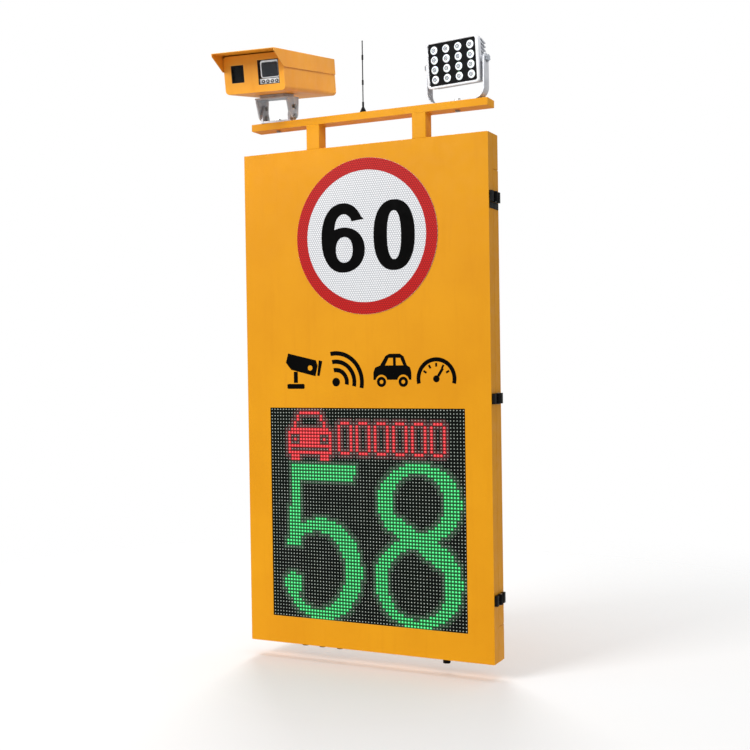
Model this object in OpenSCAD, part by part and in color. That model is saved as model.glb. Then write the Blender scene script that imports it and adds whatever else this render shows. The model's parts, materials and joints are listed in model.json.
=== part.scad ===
// Roadside speed feedback sign: shallow steel cabinet with a speed-limit disc, an LED screen,
// a camera, an antenna and a floodlight on a crossbar above it. Millimetres.
// +X is the viewer's right, +Y points away from the viewer, +Z is up. The origin is the centre of
// the rear mounting slots, on the plane of the rail faces.

/* [Cabinet] */
// Width of the cabinet
cab_w = 800; // [640:1:1000]
// Height of the cabinet
cab_h = 1500; // [1250:1:1800]
// Depth of the cabinet
cab_d = 80; // [66:1:110]
// Thickness of the steel sheet
sheet = 2; // [1.5:0.1:3]
// Depth of the front half, from the front face to the seam of the door
seam_d = 38; // [32:1:46]
// Height of the fixed strips above and below the door
header_h = 100; // [80:1:125]
// Width of the lip around the door opening
lip_w = 18; // [15:1:24]
// Thickness of the rubber seal on the lip
seal_t = 3; // [2:0.5:4]
// Gap around the door
door_gap = 1.5; // [0.8:0.1:3]

/* [Screen] */
// Width of one LED module
module_w = 320; // [266:1:384]
// Height of one LED module
module_h = 160; // [134:1:192]
// Thickness of one LED module
module_t = 14; // [10:1:18]
// Height of the screen's lower edge above the cabinet's bottom
screen_low = 82; // [70:1:110]
// Gap between neighbouring modules
module_gap = 0.4; // [0.2:0.1:1]

/* [Sign disc] */
// Diameter of the speed-limit disc
disc_d = 460; // [380:1:560]
// Thickness of the disc
disc_t = 2; // [1.5:0.1:3]
// Sideways place of the disc's centre
disc_x = 15; // [-40:1:40]
// Distance of the disc's centre below the cabinet's top
disc_down = 271; // [250:1:330]

/* [Top frame] */
// Width of an upright tube
upright_w = 43; // [36:1:52]
// Depth of an upright tube
upright_d = 44; // [36:1:52]
// Height of an upright between cabinet and crossbar
upright_h = 73; // [60:1:88]
// Sideways places of the two uprights
upright_x = [-157, 190];
// Wall of the tubes
tube_wall = 2.5; // [2:0.1:4]
// Length of the crossbar
bar_len = 771; // [700:1:925]
// Height of the crossbar
bar_h = 21; // [17:1:26]
// Depth of the crossbar
bar_d = 55; // [46:1:66]
// Sideways place of the crossbar's middle
bar_x = 15; // [-20:1:30]

/* [Mounting rails] */
// How far the rails stand behind the cabinet
rail_d = 21; // [17:1:41]
// Height of a rail
rail_h = 41; // [35:1:60]
// Length of a rail
rail_len = 700; // [640:1:760]
// Distance between slot centres along a rail
slot_span = 600; // [480:1:640]
// Width of a slot
slot_w = 11; // [9:0.5:13]
// End-to-end length of a slot
slot_len = 30; // [24:1:36]

/* [Hinges and locks] */
// Height of a hinge
hinge_h = 30; // [26:1:40]
// Radius of the hinge knuckles
knuckle_r = 6.5; // [5.5:0.1:8]
// Radius of the hinge pins
pin_r = 3; // [2:0.1:3.5]
// Radial running clearance of pins and bolts
run = 0.05; // [0.02:0.01:0.1]
// Distance of the outer hinges from the ends of the door opening
hinge_end = 80; // [50:1:140]
// Distance of the outer locks from the ends of the door opening
lock_end = 110; // [70:1:180]
// Distance of the lock axis from the cabinet's side
lock_in = 30; // [26:1:40]
// Length of a lock cam from its axis
cam_len = 24; // [20:1:27]

/* [Equipment] */
// Width of the equipment plate
plate_w = 680; // [600:1:720]
// Distance from the front face to the equipment plate
plate_in = 12; // [8:1:16]
// Width of the battery pack
battery_w = 300; // [250:1:330]
// Height of the battery pack
battery_h = 160; // [130:1:190]
// Width of the charge controller
charger_w = 190; // [150:1:230]
// Width of one power supply
supply_w = 150; // [120:1:160]
// Height of a power supply
supply_h = 98; // [80:1:120]
// Height of the wiring duct
duct_h = 36; // [25:1:45]
// Height of the breaker
breaker_h = 82; // [68:1:98]
// Depth of the door's stiffeners
stiffener_d = 9; // [6:1:12]

/* [Camera] */
// Sideways place of the camera's pan axis
cam_x = -290; // [-310:1:-270]
// Pan angle of the camera at rest
cam_pan = 7.5; // [0:0.5:15]
// Nose-down angle of the camera at rest
cam_tilt = 10; // [0:0.5:18]
// Height of the tilt axis above the crossbar
pivot_up = 20; // [18:1:26]
// Height of the cradle above the tilt axis
cradle_up = 54; // [50:1:64]
// Outer width of the camera housing
cam_w = 190; // [160:1:228]
// Height of the camera housing
cam_h = 112; // [96:1:134]
// Length of the camera housing
cam_len_y = 436; // [370:1:520]
// Length of the housing in front of the pan axis
cam_fwd = 162; // [135:1:185]
// How far the hood reaches past the front plate
visor = 70; // [50:1:90]
// Height of the hood's side skirts
skirt = 46; // [38:1:54]
// Thickness of the hood and tray sheet
cam_sheet = 2; // [1.5:0.1:2.5]
// Gap between hood and tray
hood_gap = 1; // [0.8:0.1:2]

/* [Floodlight] */
// Sideways place of the floodlight's swivel axis
flood_x = 300; // [270:1:300]
// Swivel angle at rest
flood_pan = -8; // [-12:0.5:8]
// Nose-down angle at rest
flood_tilt = 5; // [0:0.5:15]
// Height of the tilt axis above the crossbar
flood_up = 112; // [104:1:134]
// Width of the lamp
flood_w = 166; // [150:1:175]
// Height of the lamp
flood_h = 131; // [110:1:150]
// Depth of the lamp
flood_d = 60; // [50:1:72]
// Width of the bezel around the black face
bezel_w = 6; // [4:0.5:9]
// Radius of a lens
lens_r = 11.5; // [9:0.5:12]

/* [Antenna] */
// Height of the antenna above the crossbar
antenna_h = 217; // [180:1:260]
// Radius of the antenna's cone base
antenna_r = 11.5; // [10:0.5:14]

/* [Hidden] */
$fn = 64;
e = 0.01;
front_y = -(rail_d + cab_d);
seam_y = front_y + seam_d;
back_y = -rail_d;
floor_z = -cab_h / 2;
door_h = cab_h - 2 * header_h;
lip_y = seam_y - seal_t - sheet;
bar_top = cab_h / 2 + upright_h + bar_h;
bar_y = front_y + bar_d / 2;
screen_w = 2 * module_w;
screen_h = 4 * module_h;
screen_z = floor_z + screen_low;
module_y = front_y + sheet + 1;
rail_z = (cab_h - header_h) / 2;
hinge_x = cab_w / 2 + knuckle_r;
lock_x = -cab_w / 2 + lock_in;
cam_y = lip_y - 1.4;
lock_r = 8;
hinge_z = [door_h / 2 - hinge_end, 0, hinge_end - door_h / 2];
lock_z = [door_h / 2 - lock_end, 0, lock_end - door_h / 2];
plate_y = front_y + plate_in;
gear_y = plate_y + sheet;
room = cab_d - plate_in - 2 * sheet - stiffener_d;
box_t = room - 17;
row_gap = 14;
plate_margin = 15;
strap_foot = 12;
plate_h = 2 * plate_margin + 2 * strap_foot + 3 * row_gap + battery_h + supply_h + duct_h + breaker_h;
plate_z = (screen_z + screen_h + door_h / 2 - lip_w) / 2;
battery_z = plate_z - plate_h / 2 + plate_margin + strap_foot + battery_h / 2;
supply_z = battery_z + battery_h / 2 + strap_foot + row_gap + supply_h / 2;
duct_z = supply_z + supply_h / 2 + row_gap + duct_h / 2;
breaker_z = duct_z + duct_h / 2 + row_gap + breaker_h / 2;
battery_row = [battery_w, charger_w];
supply_row = [supply_w, supply_w, 130, 120];
breaker_x = -plate_w / 2 + 140;
toggle_y = gear_y + box_t;
leg_x = 44;
leg_t = 6;
leg_w = 52;
ear_t = 5;
ear_x = leg_x + leg_t / 2 + 0.5 + ear_t / 2;
bolt_r = 5;
clamp_r = 4;
clamp_up = 30;
deck_z = cradle_up + 14;
house_front = -cam_fwd;
house_back = cam_len_y - cam_fwd;
house_top = deck_z + cam_h;
window_z = deck_z + cam_h / 2;
window_h = cam_h - 42;
inner_deck = deck_z + cam_sheet + 15.2;
lens_up = window_z + 6;
hood_out = cam_w / 2 + hood_gap + cam_sheet;
hood_pin_r = 2.5;
hood_pin_y = house_back + 9;
hood_pin_z = house_top - 3;
yoke_t = 4;
yoke_in = flood_w / 2 + 7;
stud_r = 4;
lamp_front = -flood_d / 2;
yellow = [0.91, 0.64, 0.16];
cam_yellow = [0.98, 0.67, 0.22];

// A box given by its two opposite corners.
module box(low, high) {
    translate(low) cube(high - low);
}

// A box w wide and h tall about (x, z), reaching from y0 to y1.
module slab(x, z, w, h, y0, y1) {
    box([x - w / 2, y0, z - h / 2], [x + w / 2, y1, z + h / 2]);
}

// A cylinder along +Y from y0 to y1.
module rod_y(x, z, r, y0, y1) {
    translate([x, y0, z]) rotate([-90, 0, 0]) cylinder(r = r, h = y1 - y0);
}

// A cylinder along +X from x0 to x1.
module rod_x(x0, x1, y, z, r) {
    translate([x0, y, z]) rotate([0, 90, 0]) cylinder(r = r, h = x1 - x0);
}

// A flat rectangle w by h with round corners.
module rounded(w, h, r) {
    square([w - 2 * r, h], center = true);
    square([w, h - 2 * r], center = true);
    for (sx = [-1, 1], sy = [-1, 1])
        translate([sx * (w / 2 - r), sy * (h / 2 - r)]) circle(r);
}

// A round-cornered slab from y0 to y1.
module rounded_slab(x, z, w, h, r, y0, y1) {
    translate([x, y1, z]) rotate([90, 0, 0]) linear_extrude(y1 - y0) rounded(w, h, r);
}

// Cabinet ------------------------------------------------------------------------------------

// Front tray: face sheet with the screen window, side flanges and the lip of the door opening.
module front_shell() color(yellow) {
    difference() {
        slab(0, 0, cab_w, cab_h, front_y, seam_y);
        slab(0, 0, cab_w - 2 * sheet, cab_h - 2 * sheet, front_y + sheet, seam_y + 1);
        slab(0, screen_z + screen_h / 2, screen_w, screen_h, front_y - 1, seam_y);
    }
    difference() {
        slab(0, 0, cab_w - 2 * sheet + e, door_h, lip_y, lip_y + sheet);
        slab(0, 0, cab_w - 2 * lip_w, door_h - 2 * lip_w, lip_y - 1, seam_y);
    }
}

// Fixed strip above or below the door, closed at the rear. side is +1 for the top one.
module header(side) color(yellow) {
    middle = side * (cab_h - header_h) / 2;
    inner_edge = side * door_h / 2;
    difference() {
        slab(0, middle, cab_w, header_h, seam_y, back_y);
        slab(0, middle, cab_w - 2 * sheet, header_h - 2 * sheet, seam_y - 1, back_y - sheet);
        if (side < 0) {
            for (x = [-240, -180, -120]) rod_z(x, floor_z, 8, sheet);
            rod_z(230, floor_z, 10, sheet);
            rod_z(0, floor_z, 6, sheet);
        }
    }
    slab(0, inner_edge + side * sheet / 2, cab_w - 2 * sheet, sheet, lip_y, seam_y + e);
}

module top_header() header(1);
module bottom_header() header(-1);

// A cutter along Z for a hole of radius r through a sheet whose lower face is at z.
module rod_z(x, z, r, t) {
    translate([x, (seam_y + back_y) / 2, z - 1]) cylinder(r = r, h = t + 2);
}

// Channels behind the two headers. Studs or band clamps go through the long slots.
module mount_rails() color("lightgray") {
    for (z = [-rail_z, rail_z]) difference() {
        slab(0, z, rail_len, rail_h, back_y, 0);
        slab(0, z, rail_len + 2, rail_h - 2 * tube_wall, back_y - 1, -tube_wall);
        for (x = [-slot_span / 2, slot_span / 2]) {
            slab(x, z, slot_len - slot_w, slot_w, -tube_wall - 1, 1);
            for (s = [-1, 1]) rod_y(x + s * (slot_len - slot_w) / 2, z, slot_w / 2, -tube_wall - 1, 1);
        }
    }
}

// Square tube between cabinet and crossbar.
module upright(x) color(yellow) difference() {
    box([x - upright_w / 2, front_y, cab_h / 2], [x + upright_w / 2, front_y + upright_d, bar_top - bar_h]);
    box([x - upright_w / 2 + tube_wall, front_y + tube_wall, cab_h / 2 - 1],
        [x + upright_w / 2 - tube_wall, front_y + upright_d - tube_wall, bar_top]);
}

module upright_left() upright(upright_x[0]);
module upright_right() upright(upright_x[1]);

// Crossbar tube with the bolt holes of camera, antenna and floodlight.
module crossbar() color(yellow) difference() {
    half = bar_len / 2 - sheet;
    box([bar_x - half, front_y, bar_top - bar_h], [bar_x + half, front_y + bar_d, bar_top]);
    box([bar_x - bar_len, front_y + tube_wall, bar_top - bar_h + tube_wall],
        [bar_x + bar_len, front_y + bar_d - tube_wall, bar_top - tube_wall]);
    for (x = [cam_x, flood_x])
        translate([x, bar_y, bar_top - bar_h - 1]) cylinder(r = bolt_r + run, h = bar_h + 2);
}

module crossbar_end_caps() color(yellow) {
    for (s = [-1, 1]) {
        x = bar_x + s * (bar_len - sheet) / 2;
        box([x - sheet / 2, front_y, bar_top - bar_h], [x + sheet / 2, front_y + bar_d, bar_top]);
    }
}

// Bolts that hold the camera base and the floodlight yoke on the crossbar.
module crossbar_bolts() color("silver") {
    for (p = [[cam_x, leg_t], [flood_x, yoke_t]]) translate([p[0], bar_y, 0]) {
        translate([0, 0, bar_top - bar_h - 5]) cylinder(r = bolt_r, h = bar_h + p[1] + 7);
        translate([0, 0, bar_top - bar_h - 4]) cylinder(r = 8.5, h = 4, $fn = 6);
        translate([0, 0, bar_top + p[1] + 0.3]) cylinder(r = 9, h = 6.5, $fn = 6);
    }
}

// Aluminium disc riveted on the face.
module sign_disc() color("white") rod_y(disc_x, cab_h / 2 - disc_down, disc_d / 2, front_y - disc_t, front_y);

// Four LED modules in one column, each a mask plate, a circuit board case and two ribs.
module led_column(side) color([0.08, 0.08, 0.09]) {
    x = side * module_w / 2;
    rear = module_y + module_t;
    for (row = [0 : 3]) {
        z = screen_z + (row + 0.5) * module_h;
        slab(x, z, module_w - module_gap, module_h - module_gap, module_y, module_y + module_t - 4);
        difference() {
            slab(x, z, module_w - 16, module_h - 16, rear - 4 - e, rear);
            for (s = [-1, 1])
                slab(x + s * module_w / 4, z, module_w / 2 - 28, module_h - 36, rear - 3, rear + 1);
        }
    }
}

module led_modules_left() led_column(-1);
module led_modules_right() led_column(1);

// Three upright bars behind the modules.
module display_rails() color("silver") {
    y = module_y + module_t;
    for (x = [-module_w + 14, 0, module_w - 14])
        slab(x, screen_z + screen_h / 2, 20, screen_h + 24, y, y + 8);
}

// Four studs and nuts per module, through the bars.
module module_studs() color("silver") {
    y = module_y + module_t + 8;
    for (x = [-module_w + 14, -7, 7, module_w - 14], row = [0 : 3], s = [-1, 1])
        rod_y(x, screen_z + (row + 0.5) * module_h + s * (module_h / 2 - 20), 2.8, y, y + 4);
}

// Equipment ----------------------------------------------------------------------------------

function sum(list, n) = n == 0 ? 0 : list[n - 1] + sum(list, n - 1);

// Middle of item i in a row of widths spread evenly over the plate.
function row_x(row, i) =
    -plate_w / 2 + (i + 1) * (plate_w - sum(row, len(row))) / (len(row) + 1) + sum(row, i) + row[i] / 2;

module at_corners() {
    for (x = [-1, 1], z = [-1, 1])
        translate([x * (plate_w / 2 - 8), 0, plate_z + z * (plate_h / 2 - 8)]) children();
}

module equipment_plate() color("gainsboro") difference() {
    slab(0, plate_z, plate_w, plate_h, plate_y, plate_y + sheet);
    at_corners() rod_y(0, 0, 2.6, plate_y - 1, plate_y + sheet + 1);
}

module plate_standoffs() color("silver") at_corners() {
    rod_y(0, 0, 5, front_y + sheet, plate_y);
    rod_y(0, 0, 2.5, plate_y - e, plate_y + sheet + 5);
}

// Finned charge controller with its terminal strip.
module charge_controller() color("darkslategray") {
    x = row_x(battery_row, 1);
    slab(x, battery_z, charger_w, 110, gear_y, gear_y + 8);
    for (i = [-4 : 4]) slab(x + i * charger_w / 9.5, battery_z + 8, 3, 92, gear_y + 8 - e, gear_y + 20);
    slab(x, battery_z + 8, charger_w - 18, 92, gear_y + 20 - e, gear_y + box_t - 2);
    slab(x, battery_z - 46, charger_w - 18, 14, gear_y + 8 - e, gear_y + 24);
}

battery_x = row_x(battery_row, 0);
battery_t = room - 9;

module battery_pack() color("royalblue")
    rounded_slab(battery_x, battery_z, battery_w, battery_h, 6, gear_y, gear_y + battery_t);

// Two straps that hold the battery pack, with a foot at each end.
module battery_bracket() color("silver") {
    for (s = [-1, 1]) {
        x = battery_x + s * (battery_w / 2 - 70);
        difference() {
            slab(x, battery_z, 24, battery_h + 5, gear_y, gear_y + battery_t + 2.2);
            slab(x, battery_z, 26, battery_h + 0.4, gear_y - 1, gear_y + battery_t + 0.2);
        }
        for (t = [-1, 1]) slab(x, battery_z + t * (battery_h / 2 + 7), 24, 11, gear_y, gear_y + 2.2);
    }
}

// Two caged 5 V supplies with vent holes.
module power_supplies() color("silver") {
    rear = gear_y + box_t;
    for (n = [0, 1]) {
        x = row_x(supply_row, n);
        difference() {
            slab(x, supply_z, supply_w, supply_h, gear_y, rear);
            for (i = [-3 : 3], j = [-1 : 1])
                rod_y(x + i * supply_w / 9, supply_z + j * supply_h / 4, 3, rear - 1, rear + 1);
        }
    }
}

// Screen controller board with sockets, processor and transformer.
module display_controller() color("darkgreen") {
    x = row_x(supply_row, 2);
    slab(x, supply_z, 128, 92, gear_y, gear_y + 4);
    for (i = [0 : 3]) slab(x - 45 + i * 30, supply_z + 32, 22, 10, gear_y + 4 - e, gear_y + 12);
    slab(x - 8, supply_z - 6, 28, 28, gear_y + 4 - e, gear_y + 7);
    slab(x + 38, supply_z - 14, 26, 20, gear_y + 4 - e, gear_y + 16);
}

module router() color("dimgray") {
    x = row_x(supply_row, 3);
    rounded_slab(x, supply_z - 5, 118, 84, 4, gear_y, gear_y + 26);
    for (s = [-1, 1]) translate([x + s * 32, gear_y + 13, supply_z + 37 - e]) cylinder(r = 4, h = 10);
}

// Top-hat rail for breaker and terminals.
module din_rail() color("silver") difference() {
    length = plate_w - 60;
    slab(0, breaker_z, length, 35, gear_y, gear_y + 7.5);
    slab(0, breaker_z, length + 2, 25, gear_y + 1.5, gear_y + 8);
    slab(0, breaker_z, length + 2, 36, gear_y + 6.5, gear_y + 9);
    for (s = [-1, 1]) slab(0, breaker_z + s * 17.5, length + 2, 9, gear_y - 1, gear_y + 5.5);
}

// Two-pole breaker clipped on the rail, with a slot for its toggle.
module circuit_breaker() color("whitesmoke") difference() {
    union() {
        slab(breaker_x, breaker_z, 36, breaker_h, gear_y + 6.5, toggle_y);
        slab(breaker_x, breaker_z, 36, 45, toggle_y - e, toggle_y + 8);
    }
    slab(breaker_x, breaker_z, 12, 30, toggle_y - 7, toggle_y + 9);
    for (sx = [-1, 1], sz = [-1, 1])
        rod_y(breaker_x + sx * 9, breaker_z + sz * (breaker_h / 2 - 8), 3.5, toggle_y - 2, toggle_y + 1);
    rod_x(breaker_x - 19, breaker_x + 19, toggle_y, breaker_z, 2 + run);
}

// Toggle of the breaker, turning on a pin across the slot.
module breaker_toggle() color("black") {
    rod_x(breaker_x - 5.5, breaker_x + 5.5, toggle_y, breaker_z, 6);
    rod_x(breaker_x - 17, breaker_x + 17, toggle_y, breaker_z, 2);
    translate([breaker_x, toggle_y, breaker_z]) rotate([35, 0, 0]) box([-5.5, 0, -2.5], [5.5, 14, 2.5]);
}

module terminal_block() color("tan") {
    rear = gear_y + box_t;
    for (i = [0 : 9]) difference() {
        slab(i * 8.2 - 60, breaker_z, 8, 44, gear_y + 6.5, rear);
        for (s = [-1, 1]) rod_y(i * 8.2 - 60, breaker_z + s * 13, 2.4, rear - 4, rear + 1);
    }
}

// Slotted wiring duct.
module cable_duct() color("lightgray") difference() {
    slab(0, duct_z, plate_w - 40, duct_h, gear_y, gear_y + box_t);
    slab(0, duct_z, plate_w - 38, duct_h - 4, gear_y + 2, gear_y + box_t - 2);
    for (i = [-30 : 30]) slab(i * 10, duct_z, 4, duct_h + 4, gear_y + 12, gear_y + box_t - 8);
}

// Cable glands in the bottom: a flange inside, a nut outside and a through bore.
module cable_glands() color([0.1, 0.1, 0.1]) {
    for (x = [-240, -180, -120]) translate([x, (seam_y + back_y) / 2, 0]) difference() {
        union() {
            translate([0, 0, floor_z - 16]) cylinder(r = 11, h = 10);
            translate([0, 0, floor_z - 6]) cylinder(r = 12.5, h = 6, $fn = 6);
            translate([0, 0, floor_z - e]) cylinder(r = 7.9, h = 14);
            translate([0, 0, floor_z + sheet]) cylinder(r = 12, h = 5, $fn = 6);
        }
        translate([0, 0, floor_z - 20]) cylinder(r = 5, h = 40);
    }
}

// Two-pin inlet for the solar panel's lead, with a threaded collar.
module solar_inlet() color("black") translate([230, (seam_y + back_y) / 2, 0]) {
    difference() {
        union() {
            translate([0, 0, floor_z - 24]) cylinder(r = 11, h = 20);
            translate([0, 0, floor_z - 4]) cylinder(r = 15, h = 4);
            translate([0, 0, floor_z - e]) cylinder(r = 9.9, h = 16);
        }
        translate([0, 0, floor_z - 25]) cylinder(r = 8.5, h = 15);
    }
    for (s = [-1, 1]) translate([s * 3.5, 0, floor_z - 21]) cylinder(r = 1.2, h = 12);
}

module breather_vent() color("black") translate([0, (seam_y + back_y) / 2, 0]) difference() {
    union() {
        translate([0, 0, floor_z - 7]) cylinder(r = 10, h = 7);
        translate([0, 0, floor_z - e]) cylinder(r = 5.9, h = 10);
    }
    translate([0, 0, floor_z - 2]) cylinder(r = 3, h = 14);
    for (a = [0, 60, 120]) translate([0, 0, floor_z - 3.5]) rotate([0, 0, a]) cube([22, 2, 3], center = true);
}

module frame_seal() color("black") difference() {
    slab(0, 0, cab_w - 2 * sheet - 2, door_h - 2, seam_y - seal_t, seam_y);
    slab(0, 0, cab_w - 2 * lip_w + 4, door_h - 2 * lip_w + 4, lip_y, seam_y + 1);
}

// Hinges -------------------------------------------------------------------------------------

// Leaf of one hinge. side is -1 for the frame half and +1 for the door half.
module leaf(side, z) {
    near = seam_y + side * (knuckle_r + 1.5);
    far = side < 0 ? front_y + 4 : back_y - 8;
    pad = far - side * 14;
    low = z - hinge_h / 2;
    high = z + hinge_h / 2;
    box([cab_w / 2, min(near, far), low], [cab_w / 2 + 4, max(near, far), high]);
    box([cab_w / 2, min(far, pad), low], [cab_w / 2 + 9, max(far, pad), high]);
}

module hinge_frame_leaves() color("black") {
    third = hinge_h / 6 + 0.1;
    for (z = hinge_z) difference() {
        union() {
            leaf(-1, z);
            for (s = [-1, 1]) {
                low = s > 0 ? z + third : z - hinge_h / 2;
                translate([hinge_x, seam_y, low]) cylinder(r = knuckle_r, h = hinge_h / 2 - third);
                box([cab_w / 2, seam_y - knuckle_r - 2, low], [hinge_x, seam_y, low + hinge_h / 2 - third]);
            }
        }
        translate([hinge_x, seam_y, z - hinge_h]) cylinder(r = pin_r + run, h = 2 * hinge_h);
    }
    z = hinge_z[0] - hinge_h / 2 - 10;
    box([cab_w / 2, front_y + 4, z - 9], [cab_w / 2 + 1.5, seam_y - 1, z + 9]);
}

module hinge_door_leaves() color("black") {
    third = hinge_h / 6 - 0.1;
    for (z = hinge_z) difference() {
        union() {
            leaf(1, z);
            translate([hinge_x, seam_y, z - third]) cylinder(r = knuckle_r, h = 2 * third);
            box([cab_w / 2, seam_y + 0.4, z - third], [hinge_x, seam_y + knuckle_r + 2, z + third]);
        }
        translate([hinge_x, seam_y, z - hinge_h]) cylinder(r = pin_r + run, h = 2 * hinge_h);
    }
    z = hinge_z[0] - hinge_h / 2 - 10;
    box([cab_w / 2, seam_y + 1, z - 9], [cab_w / 2 + 1.5, back_y - 4, z + 9]);
}

module hinge_pins() color("silver") {
    for (z = hinge_z) translate([hinge_x, seam_y, z - hinge_h / 2 - 1]) {
        cylinder(r = pin_r, h = hinge_h + 2);
        cylinder(r = pin_r + 1.5, h = 0.9);
        translate([0, 0, hinge_h + 1.1]) cylinder(r = pin_r + 1.5, h = 0.9);
    }
}

// Rear door: a pan open to the front, with a lip that meets the seal.
module rear_door() color(yellow) {
    tall = door_h - 2 * door_gap;
    start = seam_y + 0.4;
    difference() {
        slab(0, 0, cab_w, tall, start, back_y);
        slab(0, 0, cab_w - 2 * sheet, tall - 2 * sheet, start - 1, back_y - sheet);
        for (z = lock_z) rod_y(lock_x, z, lock_r + 0.1, back_y - sheet - 1, back_y + 1);
    }
    difference() {
        slab(0, 0, cab_w - 2 * sheet + e, tall - 2 * sheet + e, start, start + sheet);
        slab(0, 0, cab_w - 2 * lip_w, tall - 2 * lip_w, start - 1, start + sheet + 1);
    }
}

module door_stiffeners() color(yellow) {
    inner = back_y - sheet - stiffener_d;
    for (x = [-cab_w / 4, cab_w / 4]) difference() {
        slab(x, 0, 40, door_h - 80, inner, back_y - sheet);
        slab(x, 0, 40 - 2 * sheet, door_h - 78, inner + sheet, back_y);
    }
}

// Cam locks: the fixed body with its collar and nut.
module lock_bodies() color("silver") {
    for (z = lock_z) difference() {
        union() {
            rod_y(lock_x, z, lock_r + 4, back_y, back_y + 3);
            rod_y(lock_x, z, lock_r, back_y - 20, back_y + e);
            rod_y(lock_x, z, lock_r + 3, back_y - sheet - 5, back_y - sheet);
        }
        rod_y(lock_x, z, 5 + run, back_y - 21, back_y + 4);
    }
}

// Plug, shaft and cam of one lock. The cam stands upright when unlocked.
module lock_cam(z) color("gray") {
    difference() {
        rod_y(lock_x, z, 5, cam_y - 3, back_y + 3.5);
        slab(lock_x, z, 1.6, 7, back_y + 1, back_y + 5);
    }
    slab(lock_x, z + cam_len / 2 - 3, 12, cam_len + 6, cam_y - 2.6, cam_y + 0.4);
}

module lock_cam_1() lock_cam(lock_z[0]);
module lock_cam_2() lock_cam(lock_z[1]);
module lock_cam_3() lock_cam(lock_z[2]);

// Antenna ------------------------------------------------------------------------------------

module antenna_base() color("black") translate([0, bar_y, bar_top]) {
    cylinder(r = antenna_r, h = 5);
    translate([0, 0, 5 - e]) cylinder(r1 = antenna_r - 1, r2 = 4, h = 14);
    translate([0, 0, 19 - 2 * e]) cylinder(r = 3, h = 16);
}

module antenna_whip() color("dimgray") translate([0, bar_y, bar_top]) {
    translate([0, 0, 35]) cylinder(r = 1.6, h = antenna_h - 37);
    translate([0, 0, antenna_h - 2]) sphere(2);
    for (z = [86, 160]) translate([0, 0, z]) cylinder(r = 2.8, h = 14);
}

// Camera -------------------------------------------------------------------------------------

module at_pan() translate([cam_x, bar_y, bar_top]) rotate([0, 0, cam_pan]) children();
module at_tilt() at_pan() translate([0, 0, pivot_up]) rotate([cam_tilt, 0, 0]) children();

// Foot with two legs. The centre bolt is the pan axis.
module camera_base() color("silver") at_pan() difference() {
    union() {
        box([-leg_x - leg_t / 2, -leg_w / 2, 0], [leg_x + leg_t / 2, leg_w / 2, leg_t]);
        for (s = [-1, 1]) translate([s * leg_x - leg_t / 2, 0, 0]) rotate([90, 0, 90]) linear_extrude(leg_t) {
            translate([-leg_w / 2, 0]) square([leg_w, pivot_up + 4]);
            polygon([[-leg_w / 2, pivot_up + 4 - e], [leg_w / 2, pivot_up + 4 - e],
                [9, pivot_up + clamp_up + 6], [-9, pivot_up + clamp_up + 6]]);
            translate([0, pivot_up + clamp_up]) circle(10);
        }
    }
    translate([0, 0, -1]) cylinder(r = bolt_r + run, h = leg_t + 2);
    rod_x(-leg_x - leg_t, leg_x + leg_t, 0, pivot_up, bolt_r + run);
    rod_x(-leg_x - leg_t, leg_x + leg_t, 0, pivot_up + clamp_up, clamp_r + 0.1);
}

// Tilt pivots and clamp bolts, standing in the legs.
module camera_bolts() color("silver") at_pan() {
    out = ear_x + ear_t / 2 + 0.3;
    for (s = [-1, 1], p = [[pivot_up, bolt_r], [pivot_up + clamp_up, clamp_r]]) {
        low = s > 0 ? leg_x - leg_t / 2 - 6 : -out - 4;
        rod_x(low, low + out + 4 - leg_x + leg_t / 2 + 6, 0, p[0], p[1]);
        head = s > 0 ? out : -out - 5;
        nut = s > 0 ? leg_x - leg_t / 2 - 5 : -leg_x + leg_t / 2;
        translate([head, 0, p[0]]) rotate([0, 90, 0]) cylinder(r = p[1] * 1.8, h = 5, $fn = 6);
        translate([nut, 0, p[0]]) rotate([0, 90, 0]) cylinder(r = p[1] * 1.8, h = 5, $fn = 6);
    }
}

// Deck with a V-shaped ear at each side, clamped through a curved slot.
module camera_cradle() color("silver") at_tilt() {
    swing = 30;
    box([-ear_x - ear_t / 2, -50, cradle_up], [ear_x + ear_t / 2, 50, cradle_up + ear_t]);
    for (s = [-1, 1]) difference() {
        translate([s * ear_x - ear_t / 2, 0, 0]) rotate([90, 0, 90]) linear_extrude(ear_t) {
            polygon([[-46, cradle_up + 1], [46, cradle_up + 1], [46, cradle_up - 8], [34, 3],
                [26, -5], [-26, -5], [-34, 3], [-46, cradle_up - 8]]);
            circle(13);
        }
        rod_x(s * ear_x - ear_t, s * ear_x + ear_t, 0, 0, bolt_r + run);
        translate([s * ear_x - ear_t, 0, 0]) rotate([90, 0, 90]) rotate([0, 0, 90 - cam_tilt - swing])
            rotate_extrude(angle = 2 * swing)
                translate([clamp_up - clamp_r - 0.4, 0]) square([2 * clamp_r + 0.8, 2 * ear_t]);
    }
    box([-40, -40, cradle_up + ear_t], [40, 40, deck_z]);
}

// Outline of the tray's section: flat sides, round lower corners.
module tray_outline(w, tall, r) {
    rounded(w, tall, r);
    translate([-w / 2, 0]) square([w, tall / 2]);
}

// Lower tray of the housing with its raised inner deck.
module camera_tray() color(cam_yellow) at_tilt() {
    tall = house_top - skirt + 12 - deck_z;
    inner_w = cam_w - 2 * cam_sheet;
    translate([0, house_back, deck_z + tall / 2]) rotate([90, 0, 0]) linear_extrude(cam_len_y - 4)
        difference() {
            tray_outline(cam_w, tall, 12);
            translate([0, cam_sheet]) tray_outline(inner_w, tall, 10);
        }
    box([20 - cam_w / 2, house_front + 12, inner_deck - 1.5], [cam_w / 2 - 20, house_back - 20, inner_deck]);
    for (x = [-60, 60])
        box([x - 2, house_front + 30, deck_z + 1], [x + 2, house_back - 30, inner_deck - 1]);
}

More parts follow.
